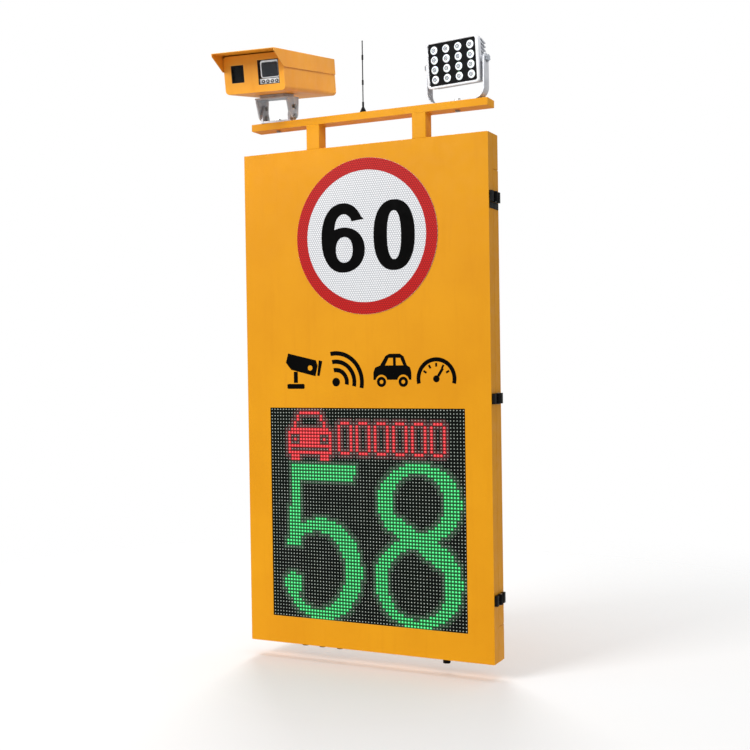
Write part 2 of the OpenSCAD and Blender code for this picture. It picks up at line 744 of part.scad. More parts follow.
// Front plate with a large and a small window.
module camera_front_plate() color(cam_yellow) at_tilt() {
    difference() {
        rounded_slab(0, window_z - 1, cam_w, cam_h - 3, 12, house_front, house_front + 3.9);
        slab(46, window_z, 66, window_h, house_front - 1, house_front + 5);
        slab(-52, window_z + 1, 40, window_h - 20, house_front - 1, house_front + 5);
    }
}

module camera_windows() color([0.2, 0.22, 0.25, 0.5]) at_tilt() {
    slab(46, window_z, 74, window_h + 8, house_front + 4, house_front + 7);
    slab(-52, window_z + 1, 48, window_h - 12, house_front + 4, house_front + 7);
}

// Rear plate with two cable glands and the hinge ears of the hood.
module camera_rear_plate() color(cam_yellow) at_tilt() {
    middle = window_z - 1;
    difference() {
        union() {
            rounded_slab(0, middle, cam_w, cam_h - 3, 12, house_back + 0.1, house_back + 4);
            for (x = [-60, 60]) {
                rod_x(x - 8, x + 8, hood_pin_y, hood_pin_z, 5);
                slab(x, hood_pin_z - 4, 16, 8, house_back + 3, hood_pin_y);
            }
            for (x = [-30, 30]) rod_y(x, middle - 20, 10, house_back + 3, house_back + 22);
        }
        for (x = [-30, 30]) rod_y(x, middle - 20, 4, house_back - 1, house_back + 23);
        rod_x(-90, 90, hood_pin_y, hood_pin_z, hood_pin_r + run);
    }
}

// Hood: roof and side skirts, cut slantwise at the visor, with its hinge knuckles and pins.
module camera_hood() color(cam_yellow) at_tilt() {
    roof = house_top + hood_gap;
    tip = house_front - visor;
    hem = house_top - skirt;
    inner = hood_out - cam_sheet;
    difference() {
        box([-hood_out, tip, hem], [hood_out, house_back + 2, roof + cam_sheet]);
        box([-inner, tip - 1, hem - 1], [inner, house_back + 3, roof]);
        translate([-hood_out - 1, 0, 0]) rotate([90, 0, 90]) linear_extrude(2 * hood_out + 2)
            polygon([[tip - 1, roof - 6], [house_front - 2, hem - 1], [tip - 1, hem - 1]]);
    }
    for (x = [-60, 60]) {
        for (s = [-1, 1]) {
            low = s > 0 ? x + 8.3 : x - 14.3;
            rod_x(low, low + 6, hood_pin_y, hood_pin_z, 5);
            box([low, house_back, hood_pin_z + 1], [low + 6, hood_pin_y, roof + cam_sheet]);
        }
        rod_x(x - 14, x + 14, hood_pin_y, hood_pin_z, hood_pin_r);
    }
}

// Camera body with its lens, on the inner deck behind the large window.
module camera_unit() color([0.15, 0.15, 0.17]) at_tilt() {
    box([16, house_front + 80, inner_deck], [76, house_front + 200, lens_up + 22]);
    rod_y(46, lens_up, 19, house_front + 24, house_front + 81);
    rod_y(46, lens_up, 22, house_front + 12, house_front + 24 + e);
}

// White strip of LEDs below the lens, behind the large window.
module camera_light_bar() color("white") at_tilt() {
    z = window_z - window_h / 2 + 9;
    slab(46, z, 64, 16, house_front + 8.6, house_front + 11);
    for (i = [-1.5 : 1.5]) rod_y(46 + i * 14, z, 4, house_front + 7.4, house_front + 8.6 + e);
}

module radar_sensor() color([0.1, 0.1, 0.1]) at_tilt() {
    box([-74, house_front + 10, inner_deck], [-30, house_front + 34, window_z + window_h / 2 - 8]);
    slab(-52, inner_deck + 2, 44, 4, house_front + 30, house_front + 60);
}

// Floodlight ---------------------------------------------------------------------------------

module at_swivel() translate([flood_x, bar_y, bar_top]) rotate([0, 0, flood_pan]) children();
module at_lamp() at_swivel() translate([0, 0, flood_up]) rotate([flood_tilt, 0, 0]) children();

// Half outline of the yoke at distance w from the middle and height low from the crossbar.
module yoke_outline(w, low, bend) {
    translate([-w, low + bend]) square([2 * w, flood_up - low - bend]);
    translate([-w + bend, low]) square([2 * (w - bend), flood_up - low]);
    for (s = [-1, 1]) translate([s * (w - bend), low + bend]) circle(bend);
}

module flood_yoke() color("silver") at_swivel() difference() {
    union() {
        translate([0, 15, 0]) rotate([90, 0, 0]) linear_extrude(30) difference() {
            yoke_outline(yoke_in + yoke_t, 0, 34);
            yoke_outline(yoke_in, yoke_t, 30);
            translate([-yoke_in, flood_up - 1]) square([2 * yoke_in, 2]);
        }
        for (x = [-yoke_in - yoke_t, yoke_in]) rod_x(x, x + yoke_t, 0, flood_up, 15);
    }
    rod_x(-yoke_in - 10, yoke_in + 10, 0, flood_up, stud_r + run);
    translate([0, 0, -1]) cylinder(r = bolt_r + run, h = yoke_t + 2);
}

// Die-cast body: a shallow box for the LED board, slanted cooling fins and the tilt bosses.
module flood_housing() color("silver") at_lamp() difference() {
    union() {
        difference() {
            rounded_slab(0, 0, flood_w - 4, flood_h - 4, 8, lamp_front + 8, lamp_front + 26);
            rounded_slab(0, 0, flood_w - 12, flood_h - 12, 5, lamp_front + 7, lamp_front + 20);
        }
        intersection() {
            slab(0, 0, flood_w - 8, flood_h - 12, lamp_front + 26 - e, flood_d / 2);
            for (i = [-5 : 5]) translate([0, 12, i * 11]) rotate([-25, 0, 0])
                cube([flood_w, 60, 3], center = true);
        }
        slab(0, 0, 40, flood_h - 20, lamp_front + 25, flood_d / 2);
        for (s = [-1, 1]) {
            low = s > 0 ? flood_w / 2 - 16 : -yoke_in + 0.4;
            rod_x(low, low + yoke_in - 0.4 - flood_w / 2 + 16, 0, 0, 12);
        }
    }
    rod_x(-yoke_in - 1, -flood_w / 2 + 14, 0, 0, stud_r + run);
    rod_x(flood_w / 2 - 14, yoke_in + 1, 0, 0, stud_r + run);
}

module flood_bezel() color("white") at_lamp() difference() {
    rounded_slab(0, 0, flood_w, flood_h, 9, lamp_front, lamp_front + 8);
    rounded_slab(0, 0, flood_w - 2 * bezel_w, flood_h - 2 * bezel_w, 6, lamp_front - 1, lamp_front + 9);
}

// Pitches of the lens grid.
function lens_x(i) = (i - 1.5) * (flood_w - 2 * bezel_w) / 3.95;
function lens_z(j) = (j - 1.5) * (flood_h - 2 * bezel_w) / 4.35;

module flood_face() color("black") at_lamp() difference() {
    face_w = flood_w - 2 * bezel_w - 0.2;
    face_h = flood_h - 2 * bezel_w - 0.2;
    rounded_slab(0, 0, face_w, face_h, 5.9, lamp_front + 3, lamp_front + 8);
    for (i = [0 : 3], j = [0 : 3]) rod_y(lens_x(i), lens_z(j), lens_r + 0.2, lamp_front + 2, lamp_front + 9);
}

module flood_lenses() color("white") at_lamp()
    for (i = [0 : 3], j = [0 : 3]) translate([lens_x(i), lamp_front + 8, lens_z(j)]) rotate([90, 0, 0]) {
        cylinder(r = lens_r, h = 4);
        translate([0, 0, 4 - e]) cylinder(r1 = lens_r, r2 = lens_r * 0.55, h = 3);
    }

// Clamp knob with its stud in the tilt boss.
module flood_knob(s) color("gray") at_lamp() {
    low = s > 0 ? flood_w / 2 - 6 : -yoke_in - yoke_t - 8;
    rod_x(low, low + yoke_in + yoke_t + 8 - flood_w / 2 + 6, 0, 0, stud_r);
    for (a = [0 : 60 : 300]) rotate([a, 0, 0])
        translate([s * (yoke_in + yoke_t + 4.3) - 4, 0, 7.5]) rotate([0, 90, 0]) cylinder(r = 2.5, h = 8);
    rod_x(s * (yoke_in + yoke_t + 4.3) - 4, s * (yoke_in + yoke_t + 4.3) + 4, 0, 0, 8);
}

module flood_knob_left() flood_knob(-1);
module flood_knob_right() flood_knob(1);

// Output -------------------------------------------------------------------------------------

front_shell();
top_header();
bottom_header();
mount_rails();
upright_left();
upright_right();
crossbar();
crossbar_end_caps();
sign_disc();
led_modules_left();
led_modules_right();
display_rails();
module_studs();
equipment_plate();
plate_standoffs();
charge_controller();
battery_pack();
battery_bracket();
power_supplies();
display_controller();
router();
din_rail();
circuit_breaker();
breaker_toggle();
terminal_block();
cable_duct();
cable_glands();
solar_inlet();
breather_vent();
frame_seal();
hinge_frame_leaves();
hinge_pins();
rear_door();
hinge_door_leaves();
door_stiffeners();
lock_bodies();
lock_cam_1();
lock_cam_2();
lock_cam_3();
antenna_base();
antenna_whip();
crossbar_bolts();
camera_base();
camera_bolts();
camera_cradle();
camera_tray();
camera_front_plate();
camera_windows();
camera_rear_plate();
camera_hood();
camera_unit();
camera_light_bar();
radar_sensor();
flood_yoke();
flood_housing();
flood_bezel();
flood_face();
flood_lenses();
flood_knob_left();
flood_knob_right();
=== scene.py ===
"""Looks of the solar speed sign: materials, screen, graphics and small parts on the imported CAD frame."""

import json
from math import atan2, cos, hypot, radians, sin, sqrt, tau

import bmesh
import bpy
from mathutils import Matrix, Vector


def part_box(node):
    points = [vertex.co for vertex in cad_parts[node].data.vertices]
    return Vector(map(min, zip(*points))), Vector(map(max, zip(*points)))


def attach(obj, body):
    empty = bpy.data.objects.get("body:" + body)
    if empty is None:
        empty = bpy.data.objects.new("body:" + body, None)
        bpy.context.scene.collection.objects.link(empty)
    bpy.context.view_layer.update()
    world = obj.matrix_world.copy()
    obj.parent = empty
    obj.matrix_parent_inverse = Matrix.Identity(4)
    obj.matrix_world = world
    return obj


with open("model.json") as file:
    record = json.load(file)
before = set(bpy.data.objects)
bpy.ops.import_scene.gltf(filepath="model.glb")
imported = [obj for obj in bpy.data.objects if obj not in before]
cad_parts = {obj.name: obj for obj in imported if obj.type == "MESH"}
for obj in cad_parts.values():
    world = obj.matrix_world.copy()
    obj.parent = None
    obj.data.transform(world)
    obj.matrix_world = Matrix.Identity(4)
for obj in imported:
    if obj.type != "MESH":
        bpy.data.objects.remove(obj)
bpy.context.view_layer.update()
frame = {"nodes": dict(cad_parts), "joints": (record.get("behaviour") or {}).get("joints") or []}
NODES = frame["nodes"]
MM = 0.001


def millimetres(node):
    """The lowest and highest corner of a CAD node, in millimetres."""
    low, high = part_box(node)
    return low / MM, high / MM


# ------------------------ sizes, in millimetres, from the frame
SHELL_LOW = millimetres("front_shell")[0]
FRONT_Y = SHELL_LOW.y
DISC_LOW, DISC_HIGH = millimetres("sign_disc")
DISC_X = (DISC_LOW.x + DISC_HIGH.x) / 2
DISC_Z = (DISC_LOW.z + DISC_HIGH.z) / 2
DISC_R = (DISC_HIGH.x - DISC_LOW.x) / 2
MODULES_LOW = millimetres("led_modules_left")[0]
MODULES_HIGH = millimetres("led_modules_right")[1]
DOTS, MODULE_ROWS = 64, 4
PITCH = 10.0
SCREEN_X = (MODULES_LOW.x + MODULES_HIGH.x) / 2
SCREEN_LEFT = SCREEN_X - DOTS * PITCH / 2
SCREEN_TOP = (MODULES_LOW.z + MODULES_HIGH.z) / 2 + DOTS * PITCH / 2
SCREEN_Y = MODULES_LOW.y
MODULE_H = DOTS * PITCH / MODULE_ROWS

JOINTS = {joint["name"]: joint for joint in frame["joints"]}


def joint_place(name, nose_down):
    """The place of what tilts about a joint: origin on the joint, X along it, tipped by some degrees."""
    joint = JOINTS[name]
    pan = atan2(joint["axis"][1], joint["axis"][0])
    at = Matrix.Translation(joint["pos_m"]) @ Matrix.Rotation(pan, 4, "Z")
    return at @ Matrix.Rotation(radians(nose_down), 4, "X")


CAMERA_AT = joint_place("camera_tilt_turn", 10)
LAMP_AT = joint_place("flood_tilt_turn", 5)
FRAME_AT = Matrix.Identity(4)
ON_CAMERA = {"body": "camera_head", "at": CAMERA_AT}
ON_LAMP = {"body": "flood_head", "at": LAMP_AT}
# The camera housing in its own place: its ends and deck, then its windows' middles, widths and height
HOUSE_FRONT = -162.0
HOUSE_BACK = 274.0
HOUSE_DECK = 68.0
HOUSE_H = 112.0
WINDOW_Z = HOUSE_DECK + HOUSE_H / 2
WINDOW_H = HOUSE_H - 42
LARGE_X, LARGE_W = 46.0, 66.0
SMALL_X, SMALL_W = -52.0, 40.0


# ------------------------ materials
def srgb(red, green, blue):
    """A colour given in 0 to 255 steps, as linear values."""
    return tuple(
        c / 255 / 12.92 if c < 10 else ((c / 255 + 0.055) / 1.055) ** 2.4 for c in (red, green, blue)
    )


class Nodes:
    """A short way to write a material's node tree."""

    def __init__(self, name):
        self.material = bpy.data.materials.new(name)
        self.material.use_nodes = True
        self.tree = self.material.node_tree
        self.shader = self.tree.nodes["Principled BSDF"]
        self.place = self.add("ShaderNodeTexCoord").outputs["Object"]

    def add(self, kind, inputs=None, **settings):
        """A node with its settings and inputs; an input is a value or another node's output."""
        node = self.tree.nodes.new(kind)
        for key, value in settings.items():
            setattr(node, key, value)
        for key, value in (inputs or {}).items():
            self.put(node.inputs[key], value)
        return node

    def put(self, socket, value):
        """Links a socket to another node's output, or sets it to a value."""
        if isinstance(value, bpy.types.NodeSocket):
            self.tree.links.new(value, socket)
        else:
            socket.default_value = value

    def math(self, operation, *values):
        """The result of a sum on values or other nodes' outputs."""
        node = self.add("ShaderNodeMath", operation=operation)
        for socket, value in zip(node.inputs, values):
            self.put(socket, value)
        return node.outputs[0]

    def noise(self, scale, detail=3.0, stretch=(1, 1, 1), roughness=0.5):
        """Noise over the object, with the scale in cells a metre."""
        mapped = self.add("ShaderNodeMapping", {"Vector": self.place, "Scale": stretch})
        inputs = {"Vector": mapped.outputs[0], "Scale": scale, "Detail": detail, "Roughness": roughness}
        return self.add("ShaderNodeTexNoise", inputs).outputs["Fac"]

    def remap(self, value, low, high, to_low=0.0, to_high=1.0):
        """A value moved from one range to another, and kept within it."""
        inputs = {"Value": value, "From Min": low, "From Max": high, "To Min": to_low, "To Max": to_high}
        return self.add("ShaderNodeMapRange", inputs).outputs[0]

    def mix(self, factor, first, second):
        """A mix of two colours; each is linear red, green and blue, or another node's output."""
        node = self.add("ShaderNodeMix", data_type="RGBA")
        for socket, value in ((node.inputs[0], factor), (node.inputs[6], first), (node.inputs[7], second)):
            self.put(socket, value if isinstance(value, (bpy.types.NodeSocket, float)) else (*value, 1))
        return node.outputs[2]

    def bump(self, height, depth_mm, strength=1.0, under=None):
        """A surface raised by a height of 0 to 1, on top of another bump if one is given."""
        inputs = {"Height": height, "Distance": depth_mm * MM, "Strength": strength}
        if under is not None:
            inputs["Normal"] = under
        return self.add("ShaderNodeBump", inputs).outputs[0]

    def edges(self, radius_mm):
        """1 on sharp edges within the radius, 0 on flat faces."""
        rounded = self.add("ShaderNodeBevel", {"Radius": radius_mm * MM}, samples=4).outputs[0]
        flat = self.add("ShaderNodeNewGeometry").outputs["Normal"]
        dot = self.add("ShaderNodeVectorMath", operation="DOT_PRODUCT")
        self.put(dot.inputs[0], rounded)
        self.put(dot.inputs[1], flat)
        return self.remap(dot.outputs["Value"], 0.99, 0.86)

    def finish(self, **sockets):
        """Sets the shader's sockets, by their names with _ for a space, and returns the material."""
        for key, value in sockets.items():
            socket = self.shader.inputs[key.replace("_", " ")]
            if isinstance(value, tuple) and len(value) == 3:
                value = (*value, 1)
            self.put(socket, value)
        return self.material


def powder_coat(name, colour, shade, highlight, rough, gloss):
    """Powder-coated sheet: orange-peel surface, faint cloudiness and rain streaks, and a painted highlight
    along its edges.
    """
    n = Nodes(name)
    cloud = n.remap(n.noise(5, 4), 0.35, 0.65)
    streak = n.remap(n.noise(9, 5, (6, 6, 0.5), 0.6), 0.52, 0.72, 0.0, 0.30)
    grain = n.remap(n.noise(700, 2), 0.3, 0.7, 0.0, 0.16)
    base = n.mix(n.math("MULTIPLY", cloud, 0.55), colour, shade)
    base = n.mix(streak, base, shade)
    base = n.mix(grain, base, shade)
    # painted highlight: sharp edges are mixed towards the highlight colour
    base = n.mix(n.math("MULTIPLY", n.edges(1.6), 0.55), base, highlight)
    fine = n.bump(n.noise(420, 2), 0.16, 0.35)
    wavy = n.bump(n.noise(14, 2), 0.7, 0.12, fine)
    roughness = n.remap(n.noise(30, 4), 0.3, 0.7, rough - 0.07, rough + 0.09)
    return n.finish(Base_Color=base, Roughness=roughness, Normal=wavy, Specular_IOR_Level=gloss)


def metal(name, colour, dark, rough, scale, depth_mm, stretch=(1, 1, 1), metallic=1.0):
    """Bare or cast metal: mottled colour and roughness, with a grain of the given scale."""
    n = Nodes(name)
    patches = n.remap(n.noise(scale * 0.12, 5, stretch), 0.32, 0.68)
    grain = n.noise(scale, 3, stretch, 0.6)
    base = n.mix(n.math("MULTIPLY", patches, 0.6), colour, dark)
    # painted highlight: sharp edges are mixed towards a lighter colour
    edge_highlight = tuple(min(1, c * 1.25) for c in colour)
    base = n.mix(n.math("MULTIPLY", n.edges(0.8), 0.5), base, edge_highlight)
    roughness = n.remap(grain, 0.3, 0.7, rough - 0.1, rough + 0.12)
    rough_face = n.bump(grain, depth_mm, 0.5)
    return n.finish(Base_Color=base, Metallic=metallic, Roughness=roughness, Normal=rough_face)


def galvanised(name):
    """Hot-dip zinc with its flake pattern."""
    n = Nodes(name)
    cells = n.add("ShaderNodeTexVoronoi", {"Vector": n.place, "Scale": 95.0, "Randomness": 1.0})
    tone = n.add("ShaderNodeSeparateColor", {"Color": cells.outputs["Color"]}).outputs[0]
    base = n.mix(tone, srgb(160, 165, 170), srgb(206, 210, 213))
    base = n.mix(n.remap(n.noise(18, 5), 0.45, 0.75, 0.0, 0.5), base, srgb(128, 130, 130))
    roughness = n.remap(tone, 0, 1, 0.34, 0.55)
    grain = n.bump(n.noise(300, 2), 0.05, 0.5)
    return n.finish(Base_Color=base, Metallic=0.55, Roughness=roughness, Normal=grain)


def plastic(name, colour, dark, rough, scale=900, depth_mm=0.05, coat=0.0, gloss=0.3):
    """Moulded plastic or rubber with a fine spark-eroded texture."""
    n = Nodes(name)
    texture = n.noise(scale, 2)
    base = n.mix(n.remap(n.noise(22, 4), 0.35, 0.7, 0.0, 0.7), colour, dark)
    # painted highlight: sharp edges are mixed towards a lighter colour
    edge_highlight = tuple(min(1, c * 1.4 + 0.01) for c in colour)
    base = n.mix(n.math("MULTIPLY", n.edges(0.6), 0.25), base, edge_highlight)
    roughness = n.remap(n.noise(60, 4), 0.3, 0.7, rough - 0.06, rough + 0.08)
    return n.finish(
        Base_Color=base, Roughness=roughness, Coat_Weight=coat, Coat_Roughness=0.1,
        Specular_IOR_Level=gloss, Normal=n.bump(texture, depth_mm, 0.5),
    )


def honeycomb(n, cell):
    """0 in the middle of a six-sided cell and 1 on its border; cell is the width across flats, in metres."""
    split = n.add("ShaderNodeSeparateXYZ", {"Vector": n.place})
    step = cell * sqrt(3)

    def from_middle(along, shift, period):
        """Distance from the middle of the period that a coordinate falls in."""
        inside = n.math("FLOORED_MODULO", n.math("ADD", along, shift * period), period)
        return n.math("ABSOLUTE", n.math("SUBTRACT", inside, period / 2))

    def reach(shift):
        """Share of the way from middle to border, in one of the two grids that make up the pattern."""
        x = from_middle(split.outputs["X"], shift, cell)
        z = from_middle(split.outputs["Z"], shift, step)
        slanted = n.math("ADD", n.math("MULTIPLY", x, 0.5), n.math("MULTIPLY", z, sqrt(3) / 2))
        return n.math("DIVIDE", n.math("MAXIMUM", x, slanted), cell / 2)

    return n.math("MINIMUM", reach(0.0), reach(0.5))


def reflective(name, colour, border):
    """Retroreflective sheeting: six-sided cells with raised borders under a clear film."""
    n = Nodes(name)
    cells = honeycomb(n, 0.0074)
    wall = n.remap(cells, 0.62, 0.9)
    glitter = n.noise(1500, 2)
    base = n.mix(wall, colour, border)
    base = n.mix(n.remap(glitter, 0.55, 0.75, 0.0, 0.22), base, border)
    return n.finish(
        Base_Color=base, Roughness=n.remap(wall, 0, 1, 0.4, 0.6), Specular_IOR_Level=0.18,
        Coat_Weight=0.08, Normal=n.bump(wall, 0.12, 0.35),
    )


def dot_distance(n):
    """Distance from the middle of the screen's grid cell, as a share of the pitch."""
    split = n.add("ShaderNodeSeparateXYZ", {"Vector": n.place})
    squares = []
    for axis, start in (("X", SCREEN_LEFT), ("Z", SCREEN_TOP)):
        cells = n.math("DIVIDE", n.math("SUBTRACT", split.outputs[axis], start * MM), PITCH * MM)
        away = n.math("SUBTRACT", n.math("FLOORED_MODULO", cells, 1.0), 0.5)
        squares.append(n.math("MULTIPLY", away, away))
    return n.math("SQRT", n.math("ADD", *squares))


def lit_dot(name, core, rim, strength):
    """A lit LED's lens: brightest in its middle, from the dot's own place on the grid."""
    n = Nodes(name)
    away = dot_distance(n)
    glow = n.mix(n.remap(away, 0.10, 0.34), core, rim)
    shimmer = n.remap(n.noise(160, 1), 0.3, 0.7, 0.85 * strength, 1.1 * strength)
    return n.finish(Base_Color=rim, Roughness=0.35, Emission_Color=glow, Emission_Strength=shimmer)


def halo(name, colour, mask, strength):
    """The mask around a lit LED, which its light falls on."""
    n = Nodes(name)
    light = n.remap(dot_distance(n), 0.26, 0.74, strength, strength * 0.28)
    return n.finish(Base_Color=mask, Roughness=0.6, Emission_Color=colour, Emission_Strength=light)


def glass(name, tint, alpha, rough=0.06):
    """Thin flat glass: mostly clear, with dust and a reflection."""
    n = Nodes(name)
    dust = n.remap(n.noise(120, 5), 0.5, 0.8, alpha, min(1.0, alpha + 0.12))
    roughness = n.remap(n.noise(45, 4), 0.4, 0.8, rough, rough + 0.12)
    n.material.surface_render_method = "BLENDED"
    return n.finish(Base_Color=tint, Roughness=roughness, Alpha=dust, Specular_IOR_Level=0.8)


def clear_lens(name):
    """A pressed silicone lens, milky white and faintly lit from inside."""
    n = Nodes(name)
    swirl = n.remap(n.noise(260, 2), 0.3, 0.7, 0.0, 0.25)
    base = n.mix(swirl, srgb(246, 248, 250), srgb(205, 210, 214))
    return n.finish(
        Base_Color=base, Roughness=0.16, Coat_Weight=0.8, Coat_Roughness=0.05, Emission_Color=(1, 1, 1),
        Emission_Strength=n.remap(n.noise(90, 2), 0.3, 0.7, 0.25, 0.4), Subsurface_Weight=0.15,
        Normal=n.bump(n.noise(400, 2), 0.1, 0.3),
    )


def lit_plastic(name, colour, shade, strength):
    """A pale moulding with painted light: it glows a little, so that it looks brightly lit."""
    n = Nodes(name)
    base = n.mix(n.remap(n.noise(40, 4), 0.35, 0.7, 0.0, 0.6), colour, shade)
    glow = n.remap(n.noise(70, 2), 0.3, 0.7, 0.8 * strength, 1.15 * strength)
    return n.finish(Base_Color=base, Roughness=0.4, Emission_Color=(1, 1, 1), Emission_Strength=glow)


def circuit_board(name, colour, dark):
    """Solder-masked board with lighter copper tracks under the mask, laid out in X and Z."""
    n = Nodes(name)
    split = n.add("ShaderNodeSeparateXYZ", {"Vector": n.place})
    flat = n.add("ShaderNodeCombineXYZ", {"X": split.outputs["X"], "Y": split.outputs["Z"]}).outputs[0]
    bricks = n.add("ShaderNodeTexBrick", {"Vector": flat, "Scale": 150.0, "Mortar Size": 0.12})
    tracks = bricks.outputs["Fac"]
    base = n.mix(n.math("MULTIPLY", tracks, 0.55), dark, colour)
    base = n.mix(n.remap(n.noise(80, 4), 0.4, 0.7, 0.0, 0.4), base, dark)
    raised = n.bump(tracks, 0.05, 0.5)
    return n.finish(Base_Color=base, Roughness=0.32, Coat_Weight=0.4, Normal=raised)


MATERIALS = {
    # the third colour of each paint below is its painted highlight on the edges
    "cabinet_paint": powder_coat(
        "cabinet_paint_look", srgb(234, 160, 18), srgb(222, 146, 12), srgb(252, 192, 70), 0.46, 0.13
    ),
    "camera_paint": powder_coat(
        "camera_paint_look", srgb(246, 168, 46), srgb(234, 148, 26), srgb(255, 226, 150), 0.4, 0.35
    ),
    "galvanised": galvanised("galvanised_look"),
    "sign_face": reflective("sign_face_look", srgb(242, 243, 245), srgb(174, 177, 183)),
    "led_mask": plastic("led_mask_look", srgb(15, 22, 17), srgb(8, 13, 10), 0.7, 500, 0.12, gloss=0.08),
    "black_aluminium": metal("black_aluminium_look", srgb(46, 47, 50), srgb(30, 31, 34), 0.42, 500, 0.04),
    "cast_aluminium": metal(
        "cast_aluminium_look", srgb(204, 206, 210), srgb(160, 162, 168), 0.42, 320, 0.16, metallic=0.3
    ),
    "zinc": metal("zinc_look", srgb(178, 178, 174), srgb(128, 128, 128), 0.3, 500, 0.03, (1, 1, 3)),
    "black_metal": plastic("black_metal_look", srgb(10, 10, 11), srgb(5, 5, 6), 0.48, 600, 0.06, gloss=0.12),
    "black_plastic": plastic("black_plastic_look", srgb(8, 8, 9), srgb(4, 4, 5), 0.52, gloss=0.09),
    "grey_plastic": plastic("grey_plastic_look", srgb(150, 154, 160), srgb(126, 130, 136), 0.46),
    "white_plastic": plastic("white_plastic_look", srgb(238, 238, 240), srgb(222, 223, 227), 0.36),
    "battery_wrap": plastic(
        "battery_wrap_look", srgb(28, 66, 138), srgb(18, 48, 108), 0.26, 160, 0.25, coat=0.6
    ),
    "controller_case": plastic("controller_case_look", srgb(36, 58, 104), srgb(26, 44, 84), 0.42),
    "board_green": circuit_board("board_green_look", srgb(26, 108, 64), srgb(12, 62, 36)),
    "terminal_tan": plastic("terminal_tan_look", srgb(190, 178, 150), srgb(168, 156, 128), 0.5),
    "rubber_black": plastic("rubber_black_look", srgb(26, 26, 27), srgb(16, 16, 17), 0.72, 700, 0.1),
    "window_glass": glass("window_glass_look", srgb(30, 34, 40), 0.12),
    "lens_clear": clear_lens("lens_clear_look"),
}
RING_RED = reflective("ring_red_look", srgb(206, 12, 8), srgb(138, 2, 4))
VINYL_BLACK = plastic("vinyl_black_look", srgb(2, 2, 2), srgb(7, 6, 6), 0.5, 400, 0.04, gloss=0.03)
UNLIT = plastic("unlit_lens_look", srgb(204, 214, 204), srgb(160, 172, 160), 0.28, coat=0.4)
GREEN_DOT = lit_dot("green_lens_look", srgb(112, 240, 160), srgb(36, 205, 104), 0.85)
GREEN_HALO = halo("green_halo_look", srgb(0, 138, 58), srgb(6, 40, 22), 0.72)
GREEN_SPILL = halo("green_spill_look", srgb(0, 84, 34), srgb(8, 26, 16), 0.5)
RED_DOT = lit_dot("red_lens_look", srgb(255, 110, 116), srgb(236, 10, 28), 0.95)
RED_HALO = halo("red_halo_look", srgb(205, 0, 16), srgb(50, 6, 8), 0.85)
RED_SPILL = halo("red_spill_look", srgb(104, 0, 8), srgb(26, 8, 8), 0.5)
LENS_GREY = plastic("lens_cup_look", srgb(104, 108, 116), srgb(76, 80, 90), 0.3, coat=0.3)
DARK_GLASS = glass("camera_glass_look", srgb(58, 62, 72), 0.82, 0.1)
# painted light: a pale plastic that glows to look brightly lit
PAINTED_LIGHT_PLASTIC = lit_plastic("painted_light_plastic_look", srgb(240, 240, 242), srgb(214, 216, 220), 0.42)
LCD = glass("lcd_look", srgb(96, 120, 96), 0.97, 0.2)
RED_PLASTIC = plastic("red_plastic_look", srgb(176, 24, 22), srgb(140, 14, 14), 0.4)
GREEN_LIGHT = plastic("green_light_look", srgb(60, 200, 90), srgb(30, 150, 60), 0.25, 900, 0.02, coat=0.5)


# ------------------------ shapes: (vertices, faces), in millimetres
def block(low, high):
    """A box between two corners."""
    corners = [(x, y, z) for x in (low[0], high[0]) for y in (low[1], high[1]) for z in (low[2], high[2])]
    sides = [(0, 1, 3, 2), (4, 6, 7, 5), (0, 4, 5, 1), (2, 3, 7, 6), (0, 2, 6, 4), (1, 5, 7, 3)]
    return corners, sides


def turned(profile, centre, axis="Y", steps=32):
    """A closed lathed form: profile is (radius, distance along the axis) pairs.

    A profile with one end off the axis gets a flat cap there, and one with both ends off it makes a ring.
    """
    verts, faces, rings = [], [], []
    angles = [i * tau / steps for i in range(steps)]
    for radius, along in profile:
        if radius == 0:
            rings.append([len(verts)])
            verts.append((0, 0, along))
        else:
            rings.append(list(range(len(verts), len(verts) + steps)))
            verts += [(radius * cos(a), radius * sin(a), along) for a in angles]
    for first, second in zip(rings, rings[1:]):
        for i in range(steps):
            j = (i + 1) % steps
            if len(first) == 1:
                faces.append((first[0], second[i], second[j]))
            elif len(second) == 1:
                faces.append((first[i], second[0], first[j]))
            else:
                faces.append((first[i], second[i], second[j], first[j]))
    first, last = rings[0], rings[-1]
    if len(first) > 1 and len(last) > 1:
        faces += [(last[i], first[i], first[(i + 1) % steps], last[(i + 1) % steps]) for i in range(steps)]
    elif len(first) > 1 or len(last) > 1:
        faces.append(tuple(max(first, last, key=len)))
    turns = {"Y": lambda x, y, z: (y, z, x), "Z": lambda x, y, z: (x, y, z)}
    return [tuple(c + d for c, d in zip(turns[axis](*v), centre)) for v in verts], faces


def arc(cx, cz, rx, rz, start, end, steps=24, power=2.0):
    """Points on an ellipse, or on a squarer curve where power is over 2; angles in degrees."""
    points = []
    for i in range(steps + 1):
        a = radians(start + (end - start) * i / steps)
        c, s = cos(a), sin(a)
        across = abs(c) ** (2 / power) * (1 if c >= 0 else -1)
        up = abs(s) ** (2 / power) * (1 if s >= 0 else -1)
        points.append((cx + rx * across, cz + rz * up))
    return points


def rounded(x0, z0, x1, z1, r, steps=6):
    """A rectangle with round corners, as a loop of points."""
    loop = []
    corners = ((x1 - r, z1 - r), (x0 + r, z1 - r), (x0 + r, z0 + r), (x1 - r, z0 + r))
    for quarter, (cx, cz) in enumerate(corners):
        loop += arc(cx, cz, r, r, quarter * 90, quarter * 90 + 90, steps)
    return loop


def circle(cx, cz, r, steps=48):
    """A circle, as a loop of points."""
    return arc(cx, cz, r, r, 0, 360, steps)[:-1]


